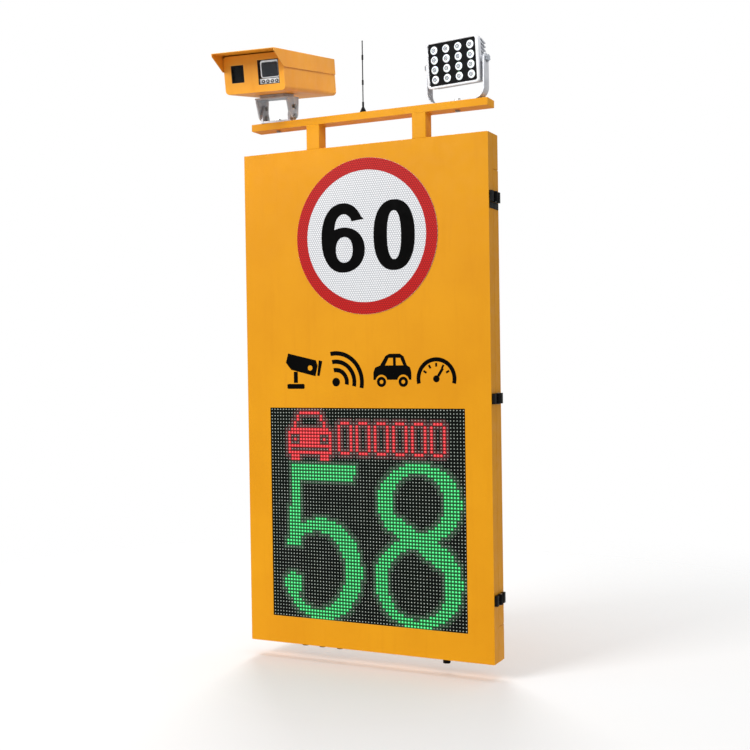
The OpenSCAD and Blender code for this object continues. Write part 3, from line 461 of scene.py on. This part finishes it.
def cut_out(loops, y0, y1):
    """A flat part between two depths: loops of (x, z) points, where a loop inside another is a hole."""
    curve = bpy.data.curves.new("outline", "CURVE")
    curve.dimensions = "2D"
    curve.fill_mode = "BOTH"
    curve.extrude = abs(y1 - y0) / 2
    for loop in loops:
        spline = curve.splines.new("POLY")
        spline.points.add(len(loop) - 1)
        for point, (x, z) in zip(spline.points, loop):
            point.co = (x, z, 0, 1)
        spline.use_cyclic_u = True
    made = bpy.data.objects.new("outline", curve)
    bpy.context.scene.collection.objects.link(made)
    mesh = bpy.data.meshes.new_from_object(made.evaluated_get(bpy.context.evaluated_depsgraph_get()))
    middle = (y0 + y1) / 2
    verts = [(v.co.x, middle - v.co.z, v.co.y) for v in mesh.vertices]
    faces = [tuple(p.vertices) for p in mesh.polygons]
    bpy.data.objects.remove(made)
    bpy.data.curves.remove(curve)
    bpy.data.meshes.remove(mesh)
    return verts, faces


def tube(path, radii, steps=10):
    """A round tube along points, with a radius at each point."""
    verts, faces = [], []
    for i, point in enumerate(path):
        before, after = path[max(i - 1, 0)], path[min(i + 1, len(path) - 1)]
        way = (Vector(after) - Vector(before)).normalized()
        side = way.cross(Vector((0, 1, 0)) if abs(way.y) < 0.9 else Vector((1, 0, 0))).normalized()
        other = way.cross(side)
        for k in range(steps):
            a = k * tau / steps
            verts.append(tuple(Vector(point) + side * radii[i] * cos(a) + other * radii[i] * sin(a)))
    for i in range(len(path) - 1):
        for k in range(steps):
            a, b = i * steps + k, i * steps + (k + 1) % steps
            faces.append((a, b, b + steps, a + steps))
    last = (len(path) - 1) * steps
    faces += [tuple(reversed(range(steps))), tuple(range(last, last + steps))]
    return verts, faces


def screw(x, y, z, r):
    """A socket-head screw on a face that looks to the rear."""
    profile = [(r, 0), (r, 0.5), (r * 0.75, 1.1), (r * 0.5, 1.2), (r * 0.42, 0.6), (0, 0.55)]
    return turned(profile, (x, y, z), "Y", 20)


def piece(name, shapes, slot, look=None, body="cabinet", at=FRAME_AT, smooth=True, bevel=0.0):
    """One mesh of several shapes, placed by a matrix and riding on a body.

    Its material is the slot's own one, unless another look is given.
    """
    verts, faces = [], []
    for more_verts, more_faces in shapes:
        start = len(verts)
        verts += [tuple(c * MM for c in v) for v in more_verts]
        faces += [tuple(i + start for i in f) for f in more_faces]
    mesh = bpy.data.meshes.new(name)
    mesh.from_pydata(verts, [], faces)
    mesh.transform(at)
    form = bmesh.new()
    form.from_mesh(mesh)
    bmesh.ops.remove_doubles(form, verts=form.verts, dist=1e-6)
    bmesh.ops.recalc_face_normals(form, faces=form.faces)
    for face in form.faces:
        face.smooth = smooth
    for edge in form.edges:
        if len(edge.link_faces) == 2 and edge.calc_face_angle(0) > radians(35):
            edge.smooth = False
    form.to_mesh(mesh)
    form.free()
    mesh.materials.append(look or MATERIALS[slot])
    made = bpy.data.objects.new(name, mesh)
    bpy.context.scene.collection.objects.link(made)
    if bevel:
        soften(made, bevel)
    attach(made, body)


def soften(made, width_mm):
    """Rounds a mesh's sharp edges by that much."""
    cut = made.modifiers.new("round_edges", "BEVEL")
    cut.width = width_mm * MM
    cut.segments = 2
    cut.limit_method = "ANGLE"
    cut.angle_limit = radians(40)
    cut.harden_normals = True
    even = made.modifiers.new("even_shading", "WEIGHTED_NORMAL")
    even.weight = 80
    even.keep_sharp = True


# ------------------------ finishes of the CAD nodes
BEVELS = {  # node: width of its rounded edges, in millimetres
    "front_shell": 1.2, "top_header": 1.0, "bottom_header": 1.0, "rear_door": 1.0, "mount_rails": 1.2,
    "upright_left": 1.6, "upright_right": 1.6, "crossbar": 1.6, "crossbar_end_caps": 1.0, "sign_disc": 0.5,
    "camera_hood": 0.7, "camera_front_plate": 0.8, "camera_rear_plate": 0.8, "camera_tray": 0.7,
    "camera_cradle": 1.4, "camera_base": 1.2, "flood_bezel": 1.2, "flood_housing": 0.8, "flood_yoke": 0.8,
    "hinge_door_leaves": 0.8, "hinge_frame_leaves": 0.8, "battery_pack": 0.8, "charge_controller": 1.5,
    "display_rails": 0.5, "door_stiffeners": 0.8, "router": 1.5, "circuit_breaker": 0.8,
    "breaker_toggle": 0.4, "cable_duct": 0.4, "terminal_block": 0.3, "battery_bracket": 0.6,
    "power_supplies": 0.4, "din_rail": 0.4,
}
# Nodes that don't look like the rest of their slot
# the camera's light bar glows with painted light, to look brightly lit
OWN_LOOKS = {"camera_light_bar": PAINTED_LIGHT_PLASTIC}
# Joining the flat faces around a large opening closes it, so these keep the faces they have
WINDOWED = {"front_shell"}


def dress_nodes():
    """Gives each CAD node its slot's material and, where its edges show, rounded edges."""
    for name, made in NODES.items():
        for i, old in enumerate(made.data.materials):
            made.material_slots[i].link = "OBJECT"
            made.material_slots[i].material = OWN_LOOKS.get(name, MATERIALS[old.name.split(".")[0]])
        if name in BEVELS:
            joined = made.modifiers.new("join_faces", "WELD")
            joined.merge_threshold = 1e-5
            if name not in WINDOWED:
                flat = made.modifiers.new("flat_faces", "DECIMATE")
                flat.decimate_type = "DISSOLVE"
                flat.angle_limit = radians(0.6)
            soften(made, BEVELS[name])


dress_nodes()


# ------------------------ speed-limit disc
def sign_graphics():
    """The red ring and the black number on the disc, as cut film of a real thickness."""
    film_y = DISC_LOW.y
    ring = [circle(DISC_X, DISC_Z, DISC_R - 0.3, 96), circle(DISC_X, DISC_Z, DISC_R - 35.5, 96)]
    piece("disc_red_ring", [cut_out(ring, film_y - 0.25, film_y)], "sign_face", RING_RED)
    six_x, zero_x, middle, half_h = DISC_X - 74, DISC_X + 93, DISC_Z - 1.5, 102.5
    zero = [
        arc(zero_x, middle, 66, half_h, 0, 360, 144, 2.3)[:-1],
        arc(zero_x, middle, 22.5, 71, 0, 360, 144, 2.3)[:-1],
    ]
    six = [
        [(six_x + 70, middle + 52)]
        + arc(six_x, middle, 72, half_h, 34, 270, 100, 2.2)[:-1]
        + arc(six_x + 2, middle - 36, 70, 66.5, -90, 117, 40, 2.1)
        + arc(six_x + 3, middle + 22, 31, 48, 180, 31, 28, 2.1),
        arc(six_x + 4, middle - 35.5, 28, 38, 0, 360, 96, 2.2)[:-1],
    ]
    for digit, loops in (("digit_6", six), ("digit_0", zero)):
        piece(digit, [cut_out(loops, film_y - 0.3, film_y)], "sign_face", VINYL_BLACK)


sign_graphics()


# ------------------------ pictograms in place of the painted caption
CAPTION_Z = 85.5  # height of the caption's middle


def pictogram(name, centre_x, parts):
    """Black cut film on the cabinet's front; parts are lists of loops around the pictogram's own centre."""
    shapes = []
    for loops in parts:
        moved = [[(x + centre_x, z + CAPTION_Z) for x, z in loop] for loop in loops]
        shapes.append(cut_out(moved, FRONT_Y - 0.25, FRONT_Y))
    piece(name, shapes, "cabinet_paint", VINYL_BLACK)


def band(cx, cz, radius, width, start, end):
    """An arc-shaped stroke as one loop."""
    outer = arc(cx, cz, radius + width / 2, radius + width / 2, start, end)
    inner = arc(cx, cz, radius - width / 2, radius - width / 2, end, start)
    return outer + inner


def bar(x0, z0, x1, z1, width):
    """A straight stroke as one loop."""
    length = hypot(x1 - x0, z1 - z0)
    dx, dz = -(z1 - z0) / length * width / 2, (x1 - x0) / length * width / 2
    return [(x0 + dx, z0 + dz), (x0 - dx, z0 - dz), (x1 - dx, z1 - dz), (x1 + dx, z1 + dz)]


def caption():
    """Four plain signs for a camera, radar, a vehicle and a speed dial."""
    pictogram("pictogram_camera", -202, [
        [[(-60, 24), (-52, 52), (44, 30), (50, 14), (42, -18), (-42, 2)], circle(24, 7, 8, 24)],
        [[(54, 30), (66, 27), (56, -18), (48, -16)]],
        [bar(-26, -4, -26, -38, 14)],
        [rounded(-56, -56, 4, -41, 4)],
    ])
    pictogram("pictogram_radar", -50, [
        [circle(-40, -36, 13, 32)],
        [band(-40, -36, 36, 13, -12, 102)],
        [band(-40, -36, 61, 13, -12, 102)],
        [band(-40, -36, 86, 13, -12, 102)],
    ])
    roof = [(-60, -8), (-54, 6), (-38, 12), (-20, 40), (-8, 46)]
    roof += [(26, 46), (38, 38), (48, 12), (58, 6), (62, -8)]
    arches = arc(36, -34, 19, 19, 12, 168, 16) + arc(-34, -34, 19, 19, 12, 168, 16)
    side_windows = [[(-22, 12), (-10, 34), (4, 34), (4, 12)], [(13, 12), (13, 34), (27, 34), (37, 12)]]
    wheels = [[circle(x, -36, 15, 32), circle(x, -36, 6, 24)] for x in (-34, 36)]
    pictogram("pictogram_car", 94, [
        [[*roof, (62, -30), *arches, (-60, -30)], *side_windows],
        *wheels,
    ])
    ticks = []
    for angle in (150, 120, 90, 60, 30):
        c, s = cos(radians(angle)), sin(radians(angle))
        ticks.append([bar(35 * c, -28 + 35 * s, 46 * c, -28 + 46 * s, 6)])
    pictogram("pictogram_dial", 234, [
        [band(0, -28, 56, 12, -14, 194)], [circle(0, -28, 10, 24)], [bar(6, -20, 20, 2, 8)], *ticks,
    ])


caption()


# ------------------------ LED screen
CAR_ICON = (
    "....#######....",
    "...#.......#...",
    "...#.......#...",
    "..#.........#..",
    "..#.........#..",
    ".#############.",
    "###############",
    "#...#######...#",
    "#.#.#######.#.#",
    "#...#######...#",
    "###############",
    "#.............#",
    "###############",
    ".###.......###.",
    ".###.......###.",
)


def in_oval(col, row, cx, cz, rx, rz):
    """Whether a dot is in an ellipse."""
    return ((col - cx) / rx) ** 2 + ((row - cz) / rz) ** 2 <= 1


def green_five(col, row):
    """The digit's top bar, stem, bowl and round end, in columns and rows of dots."""
    if 17 <= row < 22 and 7 <= col < 29.3 - (row - 17) * 0.25:
        return True
    if 22 <= row < 42 and (7 if row < 30 else 6) <= col < 10:
        return True
    if in_oval(col, row, 7.2, 53.6, 3.3, 3.3):
        return True
    bowl = in_oval(col, row, 17, 48.7, 13.6, 15.4) and not in_oval(col, row, 15.6, 49.1, 9.4, 11.8)
    return bowl and not (col < 15 and 41.5 < row < 54)


def green_eight(col, row):
    """The digit's two loops with the thick stroke between them."""
    upper = in_oval(col, row, 49.2, 27.6, 13.4, 11.6) and not in_oval(col, row, 48.9, 27.6, 8.2, 8.7)
    lower = in_oval(col, row, 48.7, 50.7, 13.9, 13.5) and not in_oval(col, row, 48.1, 51.2, 9.4, 10.4)
    right, down = col - 40, row - 32.5
    run, drop = 18, 13
    along = (right * run + down * drop) / (run * run + drop * drop)
    away = abs(right * drop - down * run) / hypot(run, drop)
    return upper or lower or (0 <= along <= 1 and away < 2.2)


def red_row(col, row):
    """A plain car sign and six round blocks, where a plate number would stand."""
    c, r = int(col) - 6, int(row) - 1
    if 0 <= r < len(CAR_ICON) and 0 <= c < len(CAR_ICON[0]):
        return CAR_ICON[r][c] == "#"
    c, r = int(col) - 23, int(row) - 4
    if not (0 <= c < 36 and 0 <= r < 10):
        return False
    c %= 6
    if c == 5:
        return False
    return (c in (0, 4) and 0 < r < 9) or (c in (1, 2, 3) and r in (0, 9))


def dot_groups():
    """The columns and rows of the unlit, the green and the red dots."""
    groups = {"unlit": [], "green": [], "red": []}
    for row in range(DOTS):
        for col in range(DOTS):
            where = (col + 0.5, row + 0.5)
            green = green_five(*where) or green_eight(*where)
            key = "green" if green else "red" if red_row(*where) else "unlit"
            groups[key].append((col, row))
    return groups


def dot_place(col, row):
    """X and Z of a dot's middle."""
    return SCREEN_LEFT + (col + 0.5) * PITCH, SCREEN_TOP - (row + 0.5) * PITCH


def led_lenses(groups):
    """A lens dome on each of the 4096 dots, larger where it is lit."""
    looks = {"unlit": (UNLIT, 1.9), "green": (GREEN_DOT, 3.0), "red": (RED_DOT, 3.0)}
    for key, (look, r) in looks.items():
        dome = [(r, 0), (r * 0.94, -0.5), (r * 0.62, -1.1), (0, -1.35)]
        middles = [dot_place(*cell) for cell in groups[key]]
        shapes = [turned(dome, (x, SCREEN_Y, z), "Y", 8) for x, z in middles]
        piece(f"led_lenses_{key}", shapes, "led_mask", look)


def glow_tiles(name, cells, look):
    """Thin tiles of the mask around some dots, which the light falls on."""
    half = PITCH / 2 - 0.05
    tiles = []
    for cell in cells:
        x, z = dot_place(*cell)
        tiles.append(block((x - half, SCREEN_Y - 0.12, z - half), (x + half, SCREEN_Y, z + half)))
    piece(name, tiles, "led_mask", look, smooth=False)


def led_glow(groups):
    """The light of the lit dots on the mask: strong around each one and weak on its dark neighbours."""
    taken = {*groups["green"], *groups["red"]}
    for key, glow, spill in (("green", GREEN_HALO, GREEN_SPILL), ("red", RED_HALO, RED_SPILL)):
        near = {(c + i, r + k) for c, r in groups[key] for i in (-1, 0, 1) for k in (-1, 0, 1)} - taken
        near = {(c, r) for c, r in near if 0 <= c < DOTS and 0 <= r < DOTS}
        taken |= near
        glow_tiles(f"led_glow_{key}", sorted(groups[key]), glow)
        glow_tiles(f"led_spill_{key}", sorted(near), spill)


def led_louvres():
    """A thin shade above each row of dots, one for each column of modules."""
    module_w = DOTS / 2 * PITCH
    section = ((0, 0), (1.9, 0.3), (1.9, 0.8), (0, 1.3))
    louvres = []
    for row in range(DOTS):
        top = SCREEN_TOP - row * PITCH - 0.6
        for side in (0, 1):
            left = SCREEN_LEFT + side * module_w + 1
            right = left + module_w - 2
            verts = [(x, SCREEN_Y - out, top - down) for x in (left, right) for out, down in section]
            sides = [(i, (i + 1) % 4, 4 + (i + 1) % 4, 4 + i) for i in range(4)]
            louvres.append((verts, [(3, 2, 1, 0), (4, 5, 6, 7), *sides]))
    piece("led_louvres", louvres, "led_mask", smooth=False)


def led_screen():
    """The dots, their light and the louvres."""
    groups = dot_groups()
    led_lenses(groups)
    led_glow(groups)
    led_louvres()


led_screen()


# ------------------------ camera
def window_loops(x, z, w, h, grow, r):
    """A round-cornered outline around a window's middle, larger than it by grow on each side."""
    return rounded(x - w / 2 - grow, z - h / 2 - grow, x + w / 2 + grow, z + h / 2 + grow, r)


def camera_details():
    """The window gaskets, the framed dark glass inside and the light bar's reflectors."""
    glass_back, bottom = HOUSE_FRONT + 7, WINDOW_Z - WINDOW_H / 2
    windows = ((LARGE_X, WINDOW_Z, LARGE_W, WINDOW_H), (SMALL_X, WINDOW_Z + 1, SMALL_W, WINDOW_H - 20))
    gaskets = []
    for window in windows:
        loops = [window_loops(*window, 0.2, 2), window_loops(*window, -2.2, 2)]
        gaskets.append(cut_out(loops, HOUSE_FRONT + 1.4, HOUSE_FRONT + 4))
    piece("camera_window_gaskets", gaskets, "rubber_black", **ON_CAMERA)
    low, high = bottom + 19, WINDOW_Z + WINDOW_H / 2 - 2
    outer = rounded(LARGE_X - 27, low, LARGE_X + 31, high, 7)
    inner = rounded(LARGE_X - 24, low + 2, LARGE_X + 28, high - 5, 5)
    ring = [cut_out([outer, inner], glass_back + 0.4, glass_back + 4)]
    # the frame glows with the same painted light
    piece("camera_window_frame", ring, "white_plastic", PAINTED_LIGHT_PLASTIC, bevel=0.4, **ON_CAMERA)
    pane = [cut_out([inner], glass_back + 1.4, glass_back + 2.4)]
    piece("camera_dark_glass", pane, "window_glass", DARK_GLASS, **ON_CAMERA)
    cups, rims = [], []
    for i in range(4):
        at = (LARGE_X + (i - 1.5) * 14, glass_back + 0.4, bottom + 9)
        cups.append(turned([(4.1, 1.2), (4.1, -0.2), (3.2, -0.25), (1.6, 0.1), (0, 0.2)], at, "Y", 24))
        rims.append(turned([(5.6, 1.2), (5.6, 0.4), (5.0, 0.0), (4.3, 0.0), (4.3, 1.2)], at, "Y", 24))
    piece("camera_light_cups", cups, "black_plastic", **ON_CAMERA)
    piece("camera_light_rims", rims, "zinc", **ON_CAMERA)


def camera_glands():
    """Black nuts over the two cable entries at the housing's back."""
    hexagon = [(10.05, 4.1), (13.2, 4.1), (13.2, 10), (12.4, 11), (10.05, 11)]
    dome = [(10.02, 11), (11.8, 11), (11.8, 16), (9.6, 21.6), (4.2, 22.05), (4.2, 21.9), (10.02, 21.9)]
    nuts = []
    for x in (-30, 30):
        at = (x, HOUSE_BACK, WINDOW_Z - 21)
        nuts += [turned(hexagon, at, "Y", 6), turned(dome, at, "Y", 36)]
    piece("camera_gland_nuts", nuts, "black_plastic", **ON_CAMERA)


camera_details()
camera_glands()


# ------------------------ floodlight
def flood_details():
    """The grey cup and the chip in each of the 16 lenses."""
    pitch_x, pitch_z, lens_y = 39.0, 27.4, -29
    cups, chips = [], []
    for i in range(4):
        for k in range(4):
            at = ((i - 1.5) * pitch_x, lens_y, (k - 1.5) * pitch_z)
            cups.append(turned([(5.9, 0.4), (5.9, -0.5), (4.9, -0.9), (3.6, -0.5), (3.6, 0.4)], at, "Y", 28))
            chips.append(turned([(2.0, 0.4), (2.0, -0.3), (1.3, -0.7), (0, -0.8)], at, "Y", 20))
    piece("flood_lens_cups", cups, "lens_clear", LENS_GREY, **ON_LAMP)
    piece("flood_lens_chips", chips, "lens_clear", LENS_GREY, **ON_LAMP)


flood_details()


# ------------------------ welds of the top frame
def weld_path(low, high, z):
    """Points about 2 mm apart round the two sides and the back of an upright, a little inside its front."""
    corners = [(low.x, low.y + 3, z), (low.x, high.y, z), (high.x, high.y, z), (high.x, low.y + 3, z)]
    path = []
    for start, end in zip(corners, corners[1:]):
        count = int(hypot(end[0] - start[0], end[1] - start[1]) / 2)
        path += [tuple(a + (b - a) * i / count for a, b in zip(start, end)) for i in range(count)]
    return path + [corners[-1]]


def welds():
    """Rippled fillet welds where the uprights meet the cabinet and the crossbar."""
    beads = []
    for node in ("upright_left", "upright_right"):
        low, high = millimetres(node)
        for z in (low.z + 0.6, high.z - 0.6):
            path = weld_path(low, high, z)
            beads.append(tube(path, [2.0 + 0.35 * (i % 2) for i in range(len(path))]))
    piece("upright_welds", beads, "cabinet_paint")


welds()


# ------------------------ behind the screen
# A driver board: its middle's distance from the screen's middle, then its width, height and thickness
BOARD_X = 155
BOARD_W, BOARD_H, BOARD_T = 262, 136, 1.6


def chip_with_legs(x, z, face):
    """A driver chip and its two rows of legs, on a board's face."""
    legs = []
    for i in range(6):
        for side in (-1, 1):
            left, row = x - 5.4 + i * 2.1, z + side * 4.6
            legs.append(block((left, face, row - 0.8), (left + 0.7, face + 0.5, row + 0.8)))
    return block((x - 6, face, z - 4), (x + 6, face + 1.6, z + 4)), legs


def ribbon_header(x, z, face):
    """A header's shroud for a flat cable and its two rows of pins."""
    outer = rounded(x - 14, z - 5, x + 14, z + 5, 0.6, 2)
    inner = rounded(x - 12.6, z - 3.6, x + 12.6, z + 3.6, 0.3, 2)
    pins = []
    for i in range(8):
        for side in (-1, 1):
            left, row = x - 9.1 + i * 2.54, z + side * 1.27
            pins.append(block((left, face, row - 0.3), (left + 0.6, face + 6, row + 0.3)))
    return cut_out([outer, inner], face, face + 7.5), pins


def module_backs():
    """Each module's driver board, with its chips, ribbon headers and power header."""
    back = millimetres("led_modules_left")[1].y
    face = back + BOARD_T
    boards, chips, headers, power, pins = [], [], [], [], []
    for side in (-1, 1):
        for row in range(MODULE_ROWS):
            x, z = SCREEN_X + side * BOARD_X, SCREEN_TOP - (row + 0.5) * MODULE_H
            outline = rounded(x - BOARD_W / 2, z - BOARD_H / 2, x + BOARD_W / 2, z + BOARD_H / 2, 4)
            holes = [circle(x + i * 122, z + k * 60, 2.4, 16) for i in (-1, 1) for k in (-1, 1)]
            boards.append(cut_out([outline, *holes], back, face))
            for i in range(8):
                chip_rows = (-1, 1) if i in (0, 3, 4, 7) else (-1, 0, 1)
                for k in chip_rows:
                    chip, legs = chip_with_legs(x - 105 + i * 30, z + k * 42, face)
                    chips.append(chip)
                    pins += legs
            for i in (-1, 1):
                shroud, posts = ribbon_header(x + i * 108, z, face)
                headers.append(shroud)
                pins += posts
            sleeve = [rounded(x - 11, z - 6, x + 11, z + 6, 1), rounded(x - 9, z - 4, x + 9, z + 4, 0.6)]
            power.append(cut_out(sleeve, face, face + 9))
    piece("module_boards", boards, "board_green")
    piece("module_chips", chips, "black_plastic", bevel=0.25)
    piece("module_headers", headers, "black_plastic")
    piece("module_power_headers", power, "white_plastic")
    piece("module_pins", pins, "zinc", smooth=False)


module_backs()


# ------------------------ equipment behind the door
def charger_face():
    """The charge controller's window, buttons, lights and screws."""
    low, high = millimetres("charge_controller")
    y, terminal_y = high.y, high.y - 12
    frame_loop = rounded(low.x + 18, high.z - 50, low.x + 98, high.z - 12, 4)
    window_loop = rounded(low.x + 22, high.z - 46, low.x + 94, high.z - 16, 2)
    window_frame = cut_out([frame_loop, window_loop], y, y + 1.6)
    piece("charger_window_frame", [window_frame], "grey_plastic", bevel=0.3)
    piece("charger_window", [cut_out([window_loop], y, y + 0.7)], "window_glass", LCD)
    button = [(6, 0), (6, 1.2), (5, 2.2), (3, 2.0), (0, 1.9)]
    buttons = [turned(button, (low.x + 116 + i * 22, y, high.z - 40), "Y", 28) for i in range(3)]
    piece("charger_buttons", buttons, "black_plastic")
    light = [(2.0, 0), (1.9, 0.8), (1.1, 1.3), (0, 1.5)]
    lights = [turned(light, (low.x + 116 + i * 14.6, y, high.z - 20), "Y", 16) for i in range(4)]
    piece("charger_lights", lights, "lens_clear", GREEN_LIGHT)
    screws = [screw(low.x + 25 + i * 20, terminal_y, low.z + 9, 4) for i in range(8)]
    screws += [screw(x, y, z, 3) for x in (low.x + 14, high.x - 14) for z in (low.z + 34, high.z - 8)]
    piece("charger_screws", screws, "zinc")


def battery_top():
    """The seams of the battery pack's wrap and its two posts with their collars."""
    low, high = millimetres("battery_pack")
    y = (low.y + high.y) / 2
    seams = []
    for x0, x1 in ((low.x + 8, low.x + 13), (high.x - 13, high.x - 8)):
        seams.append(cut_out([rounded(x0, low.z + 4, x1, high.z - 4, 2)], high.y, high.y + 0.5))
    piece("battery_seams", seams, "battery_wrap")
    for name, x, slot, look in (
        ("battery_post_plus", low.x + 30, "battery_wrap", RED_PLASTIC),
        ("battery_post_minus", high.x - 30, "black_plastic", None),
    ):
        collar = turned([(9, 0), (9, 2.2), (8, 3), (5, 3), (5, 0)], (x, y, high.z), "Z", 32)
        piece(f"{name}_collar", [collar], slot, look)
        post = turned([(4.6, 0), (4.6, 7), (4, 8), (1.6, 8), (1.4, 6), (0, 6)], (x, y, high.z), "Z", 28)
        piece(name, [post], "zinc")


# A power supply's width and the spacing of its terminals
SUPPLY_W = 150
TERMINAL_PITCH = 12.4


def supply_faces():
    """Terminal strips with their screws, a status light and a dark disc of painted shade in each vent hole,
    on the two power supplies.
    """
    low, high = millimetres("power_supplies")
    middle_z, height = (low.z + high.z) / 2, high.z - low.z
    light = [(2, 0), (1.9, 0.8), (1, 1.4), (0, 1.5)]
    strips, screws, lights, vent_shade = [], [], [], []
    for left in (low.x, high.x - SUPPLY_W):
        strip = rounded(left + 10, low.z + 3, left + 124, low.z + 15, 1)
        strips.append(cut_out([strip], high.y, high.y + 2.6))
        for i in range(10):
            x = left + 11 + i * TERMINAL_PITCH
            strips.append(block((x - 0.7, high.y + 2.6, low.z + 3.4), (x + 0.7, high.y + 5, low.z + 14.6)))
        screws += [screw(left + 17.2 + i * TERMINAL_PITCH, high.y + 2.6, low.z + 9, 3.6) for i in range(9)]
        lights.append(turned(light, (left + 136, high.y, low.z + 9), "Y", 16))
        corners = [(x, z) for x in (left + 6, left + SUPPLY_W - 6) for z in (low.z + 24, high.z - 6)]
        screws += [screw(x, high.y, z, 2.4) for x, z in corners]
        # painted shade: a thin black disc near the bottom of each vent hole stands for the dark opening
        for i in range(-3, 4):
            for k in (-1, 0, 1):
                at = (left + SUPPLY_W / 2 + i * SUPPLY_W / 9, high.y - 1, middle_z + k * height / 4)
                vent_shade.append(turned([(2.9, 0), (2.9, 0.1), (0, 0.1)], at, "Y", 20))
    piece("supply_terminals", strips, "black_plastic")
    piece("supply_vent_shade", vent_shade, "black_plastic")
    piece("supply_screws", screws, "zinc")
    piece("supply_lights", lights, "lens_clear", GREEN_LIGHT)


def controller_board():
    """Chips and capacitors on the display controller."""
    low, high = millimetres("display_controller")
    face = low.y + 4
    chips, cans = [], []
    for i in range(3):
        x = low.x + 8 + i * 12
        chips.append(block((x, face, low.z + 24), (x + 8, face + 1.4, low.z + 36)))
    for i in range(9):
        x = low.x + 8 + i * 13
        chips.append(block((x, face, low.z + 8), (x + 5, face + 1.1, low.z + 11)))
    large, small = [(4, 0), (4, 7.5), (3.4, 8.2), (0, 8.0)], [(3, 0), (3, 5.5), (2.5, 6.1), (0, 6.0)]
    for i in range(3):
        cans.append(turned(large, (high.x - 8, face, low.z + 20 + i * 13), "Y", 24))
        cans.append(turned(small, (low.x + 12 + i * 10, face, low.z + 50), "Y", 24))
    piece("controller_chips", chips, "black_plastic", bevel=0.2)
    piece("controller_capacitors", cans, "zinc")


def router_face():
    """Status lights and cooling ribs on the router."""
    low, high = millimetres("router")
    light = [(1.8, 0), (1.7, 0.6), (0.9, 1.0), (0, 1.1)]
    lights = [turned(light, (low.x + 16 + i * 11, high.y, low.z + 10), "Y", 16) for i in range(6)]
    piece("router_lights", lights, "lens_clear", GREEN_LIGHT)
    ribs = []
    for i in range(9):
        left = low.x + 20 + i * 9
        ribs.append(cut_out([rounded(left, low.z + 30, left + 3, low.z + 72, 1.4)], high.y, high.y + 1))
    piece("router_ribs", ribs, "grey_plastic")


def rail_devices():
    """Clamp screws of the breaker, on its lower shoulders, and of the terminal block."""
    low, high = millimetres("circuit_breaker")
    x, z, shoulder_y = (low.x + high.x) / 2, (low.z + high.z) / 2, high.y - 10
    screws = [screw(x + i * 9, shoulder_y, z + k * 33, 3) for i in (-1, 1) for k in (-1, 1)]
    low, high = millimetres("terminal_block")
    z = (low.z + high.z) / 2
    screws += [screw(low.x + 4 + i * 8.2, high.y - 4, z + k * 13, 2.1) for i in range(10) for k in (-1, 1)]
    piece("rail_device_screws", screws, "zinc")


charger_face()
battery_top()
supply_faces()
controller_board()
router_face()
rail_devices()


# ------------------------ studio
def plain_floor():
    """A pale floor that fades out into the plain background."""
    radius_m, steps = 3, 64
    n = Nodes("floor_look")
    far = n.add("ShaderNodeVectorMath", {0: n.place}, operation="LENGTH").outputs["Value"]
    n.material.surface_render_method = "BLENDED"
    n.finish(Base_Color=srgb(244, 244, 244), Roughness=0.8, Alpha=n.remap(far, 0.5, 2.6, 1.0, 0.0))
    mesh = bpy.data.meshes.new("floor")
    rim = [(radius_m * cos(i * tau / steps), radius_m * sin(i * tau / steps), 0) for i in range(steps)]
    mesh.from_pydata(rim, [], [tuple(range(steps))])
    mesh.materials.append(n.material)
    made = bpy.data.objects.new("floor", mesh)
    made.location = (0, -0.06, (SHELL_LOW.z - 50) * MM)
    bpy.context.scene.collection.objects.link(made)


def softbox(name, place, target, size, power, spread=180):
    """A rectangular lamp; spread is the angle of its beam in degrees."""
    lamp = bpy.data.lights.new(name, "AREA")
    lamp.spread = radians(spread)
    lamp.shape = "RECTANGLE"
    lamp.size, lamp.size_y = size
    lamp.energy = power
    made = bpy.data.objects.new(name, lamp)
    made.location = place
    made.rotation_euler = (Vector(target) - Vector(place)).to_track_quat("-Z", "Y").to_euler()
    bpy.context.scene.collection.objects.link(made)


def studio():
    """A white surround, dimmer as a light than as a background, with five lamps."""
    world = bpy.data.worlds.new("studio")
    world.use_nodes = True
    tree = world.node_tree
    background = tree.nodes["Background"]
    background.inputs["Color"].default_value = (1, 1, 1, 1)
    seen = tree.nodes.new("ShaderNodeLightPath").outputs["Is Camera Ray"]
    strength = tree.nodes.new("ShaderNodeMapRange")
    tree.links.new(seen, strength.inputs["Value"])
    strength.inputs["To Min"].default_value = 0.5
    strength.inputs["To Max"].default_value = 1.0
    tree.links.new(strength.outputs[0], background.inputs["Strength"])
    bpy.context.scene.world = world
    bpy.context.scene.view_settings.view_transform = "Standard"
    softbox("key", (-3.4, -6.0, 3.6), (0, -0.06, 0.1), (3.0, 3.0), 338)
    softbox("top", (0.4, -0.4, 3.4), (0, 0, 0.2), (3.0, 2.0), 32)
    softbox("rear", (-2.0, 3.6, 3.4), (0, 0, 0), (2.4, 2.4), 120)
    softbox("camera_side", (0.45, -0.85, 1.75), (-0.32, -0.05, 1.02), (0.4, 0.4), 0.55, 32)
    softbox("lamp_side", (1.45, -0.7, 1.45), (0.36, 0.0, 1.02), (0.2, 0.2), 0.3, 20)


def photo_camera():
    """A long lens in front of the sign and to its right, nearly level."""
    lens = bpy.data.cameras.new("camera")
    lens.lens = 54.56
    lens.sensor_width = 36
    made = bpy.data.objects.new("camera", lens)
    turn = Matrix.Rotation(radians(25.71), 3, "Z") @ Matrix.Rotation(radians(-0.85), 3, "X")
    turn = turn @ Matrix.Rotation(radians(0.855), 3, "Y")
    right, forward, up = (turn @ Vector(axis) for axis in ((1, 0, 0), (0, 1, 0), (0, 0, 1)))
    facing = Matrix((right, up, -forward)).transposed().to_4x4()
    made.matrix_world = Matrix.Translation((1.4883, -3.1108, 0.1194)) @ facing
    bpy.context.scene.collection.objects.link(made)
    bpy.context.scene.camera = made


plain_floor()
studio()
photo_camera()
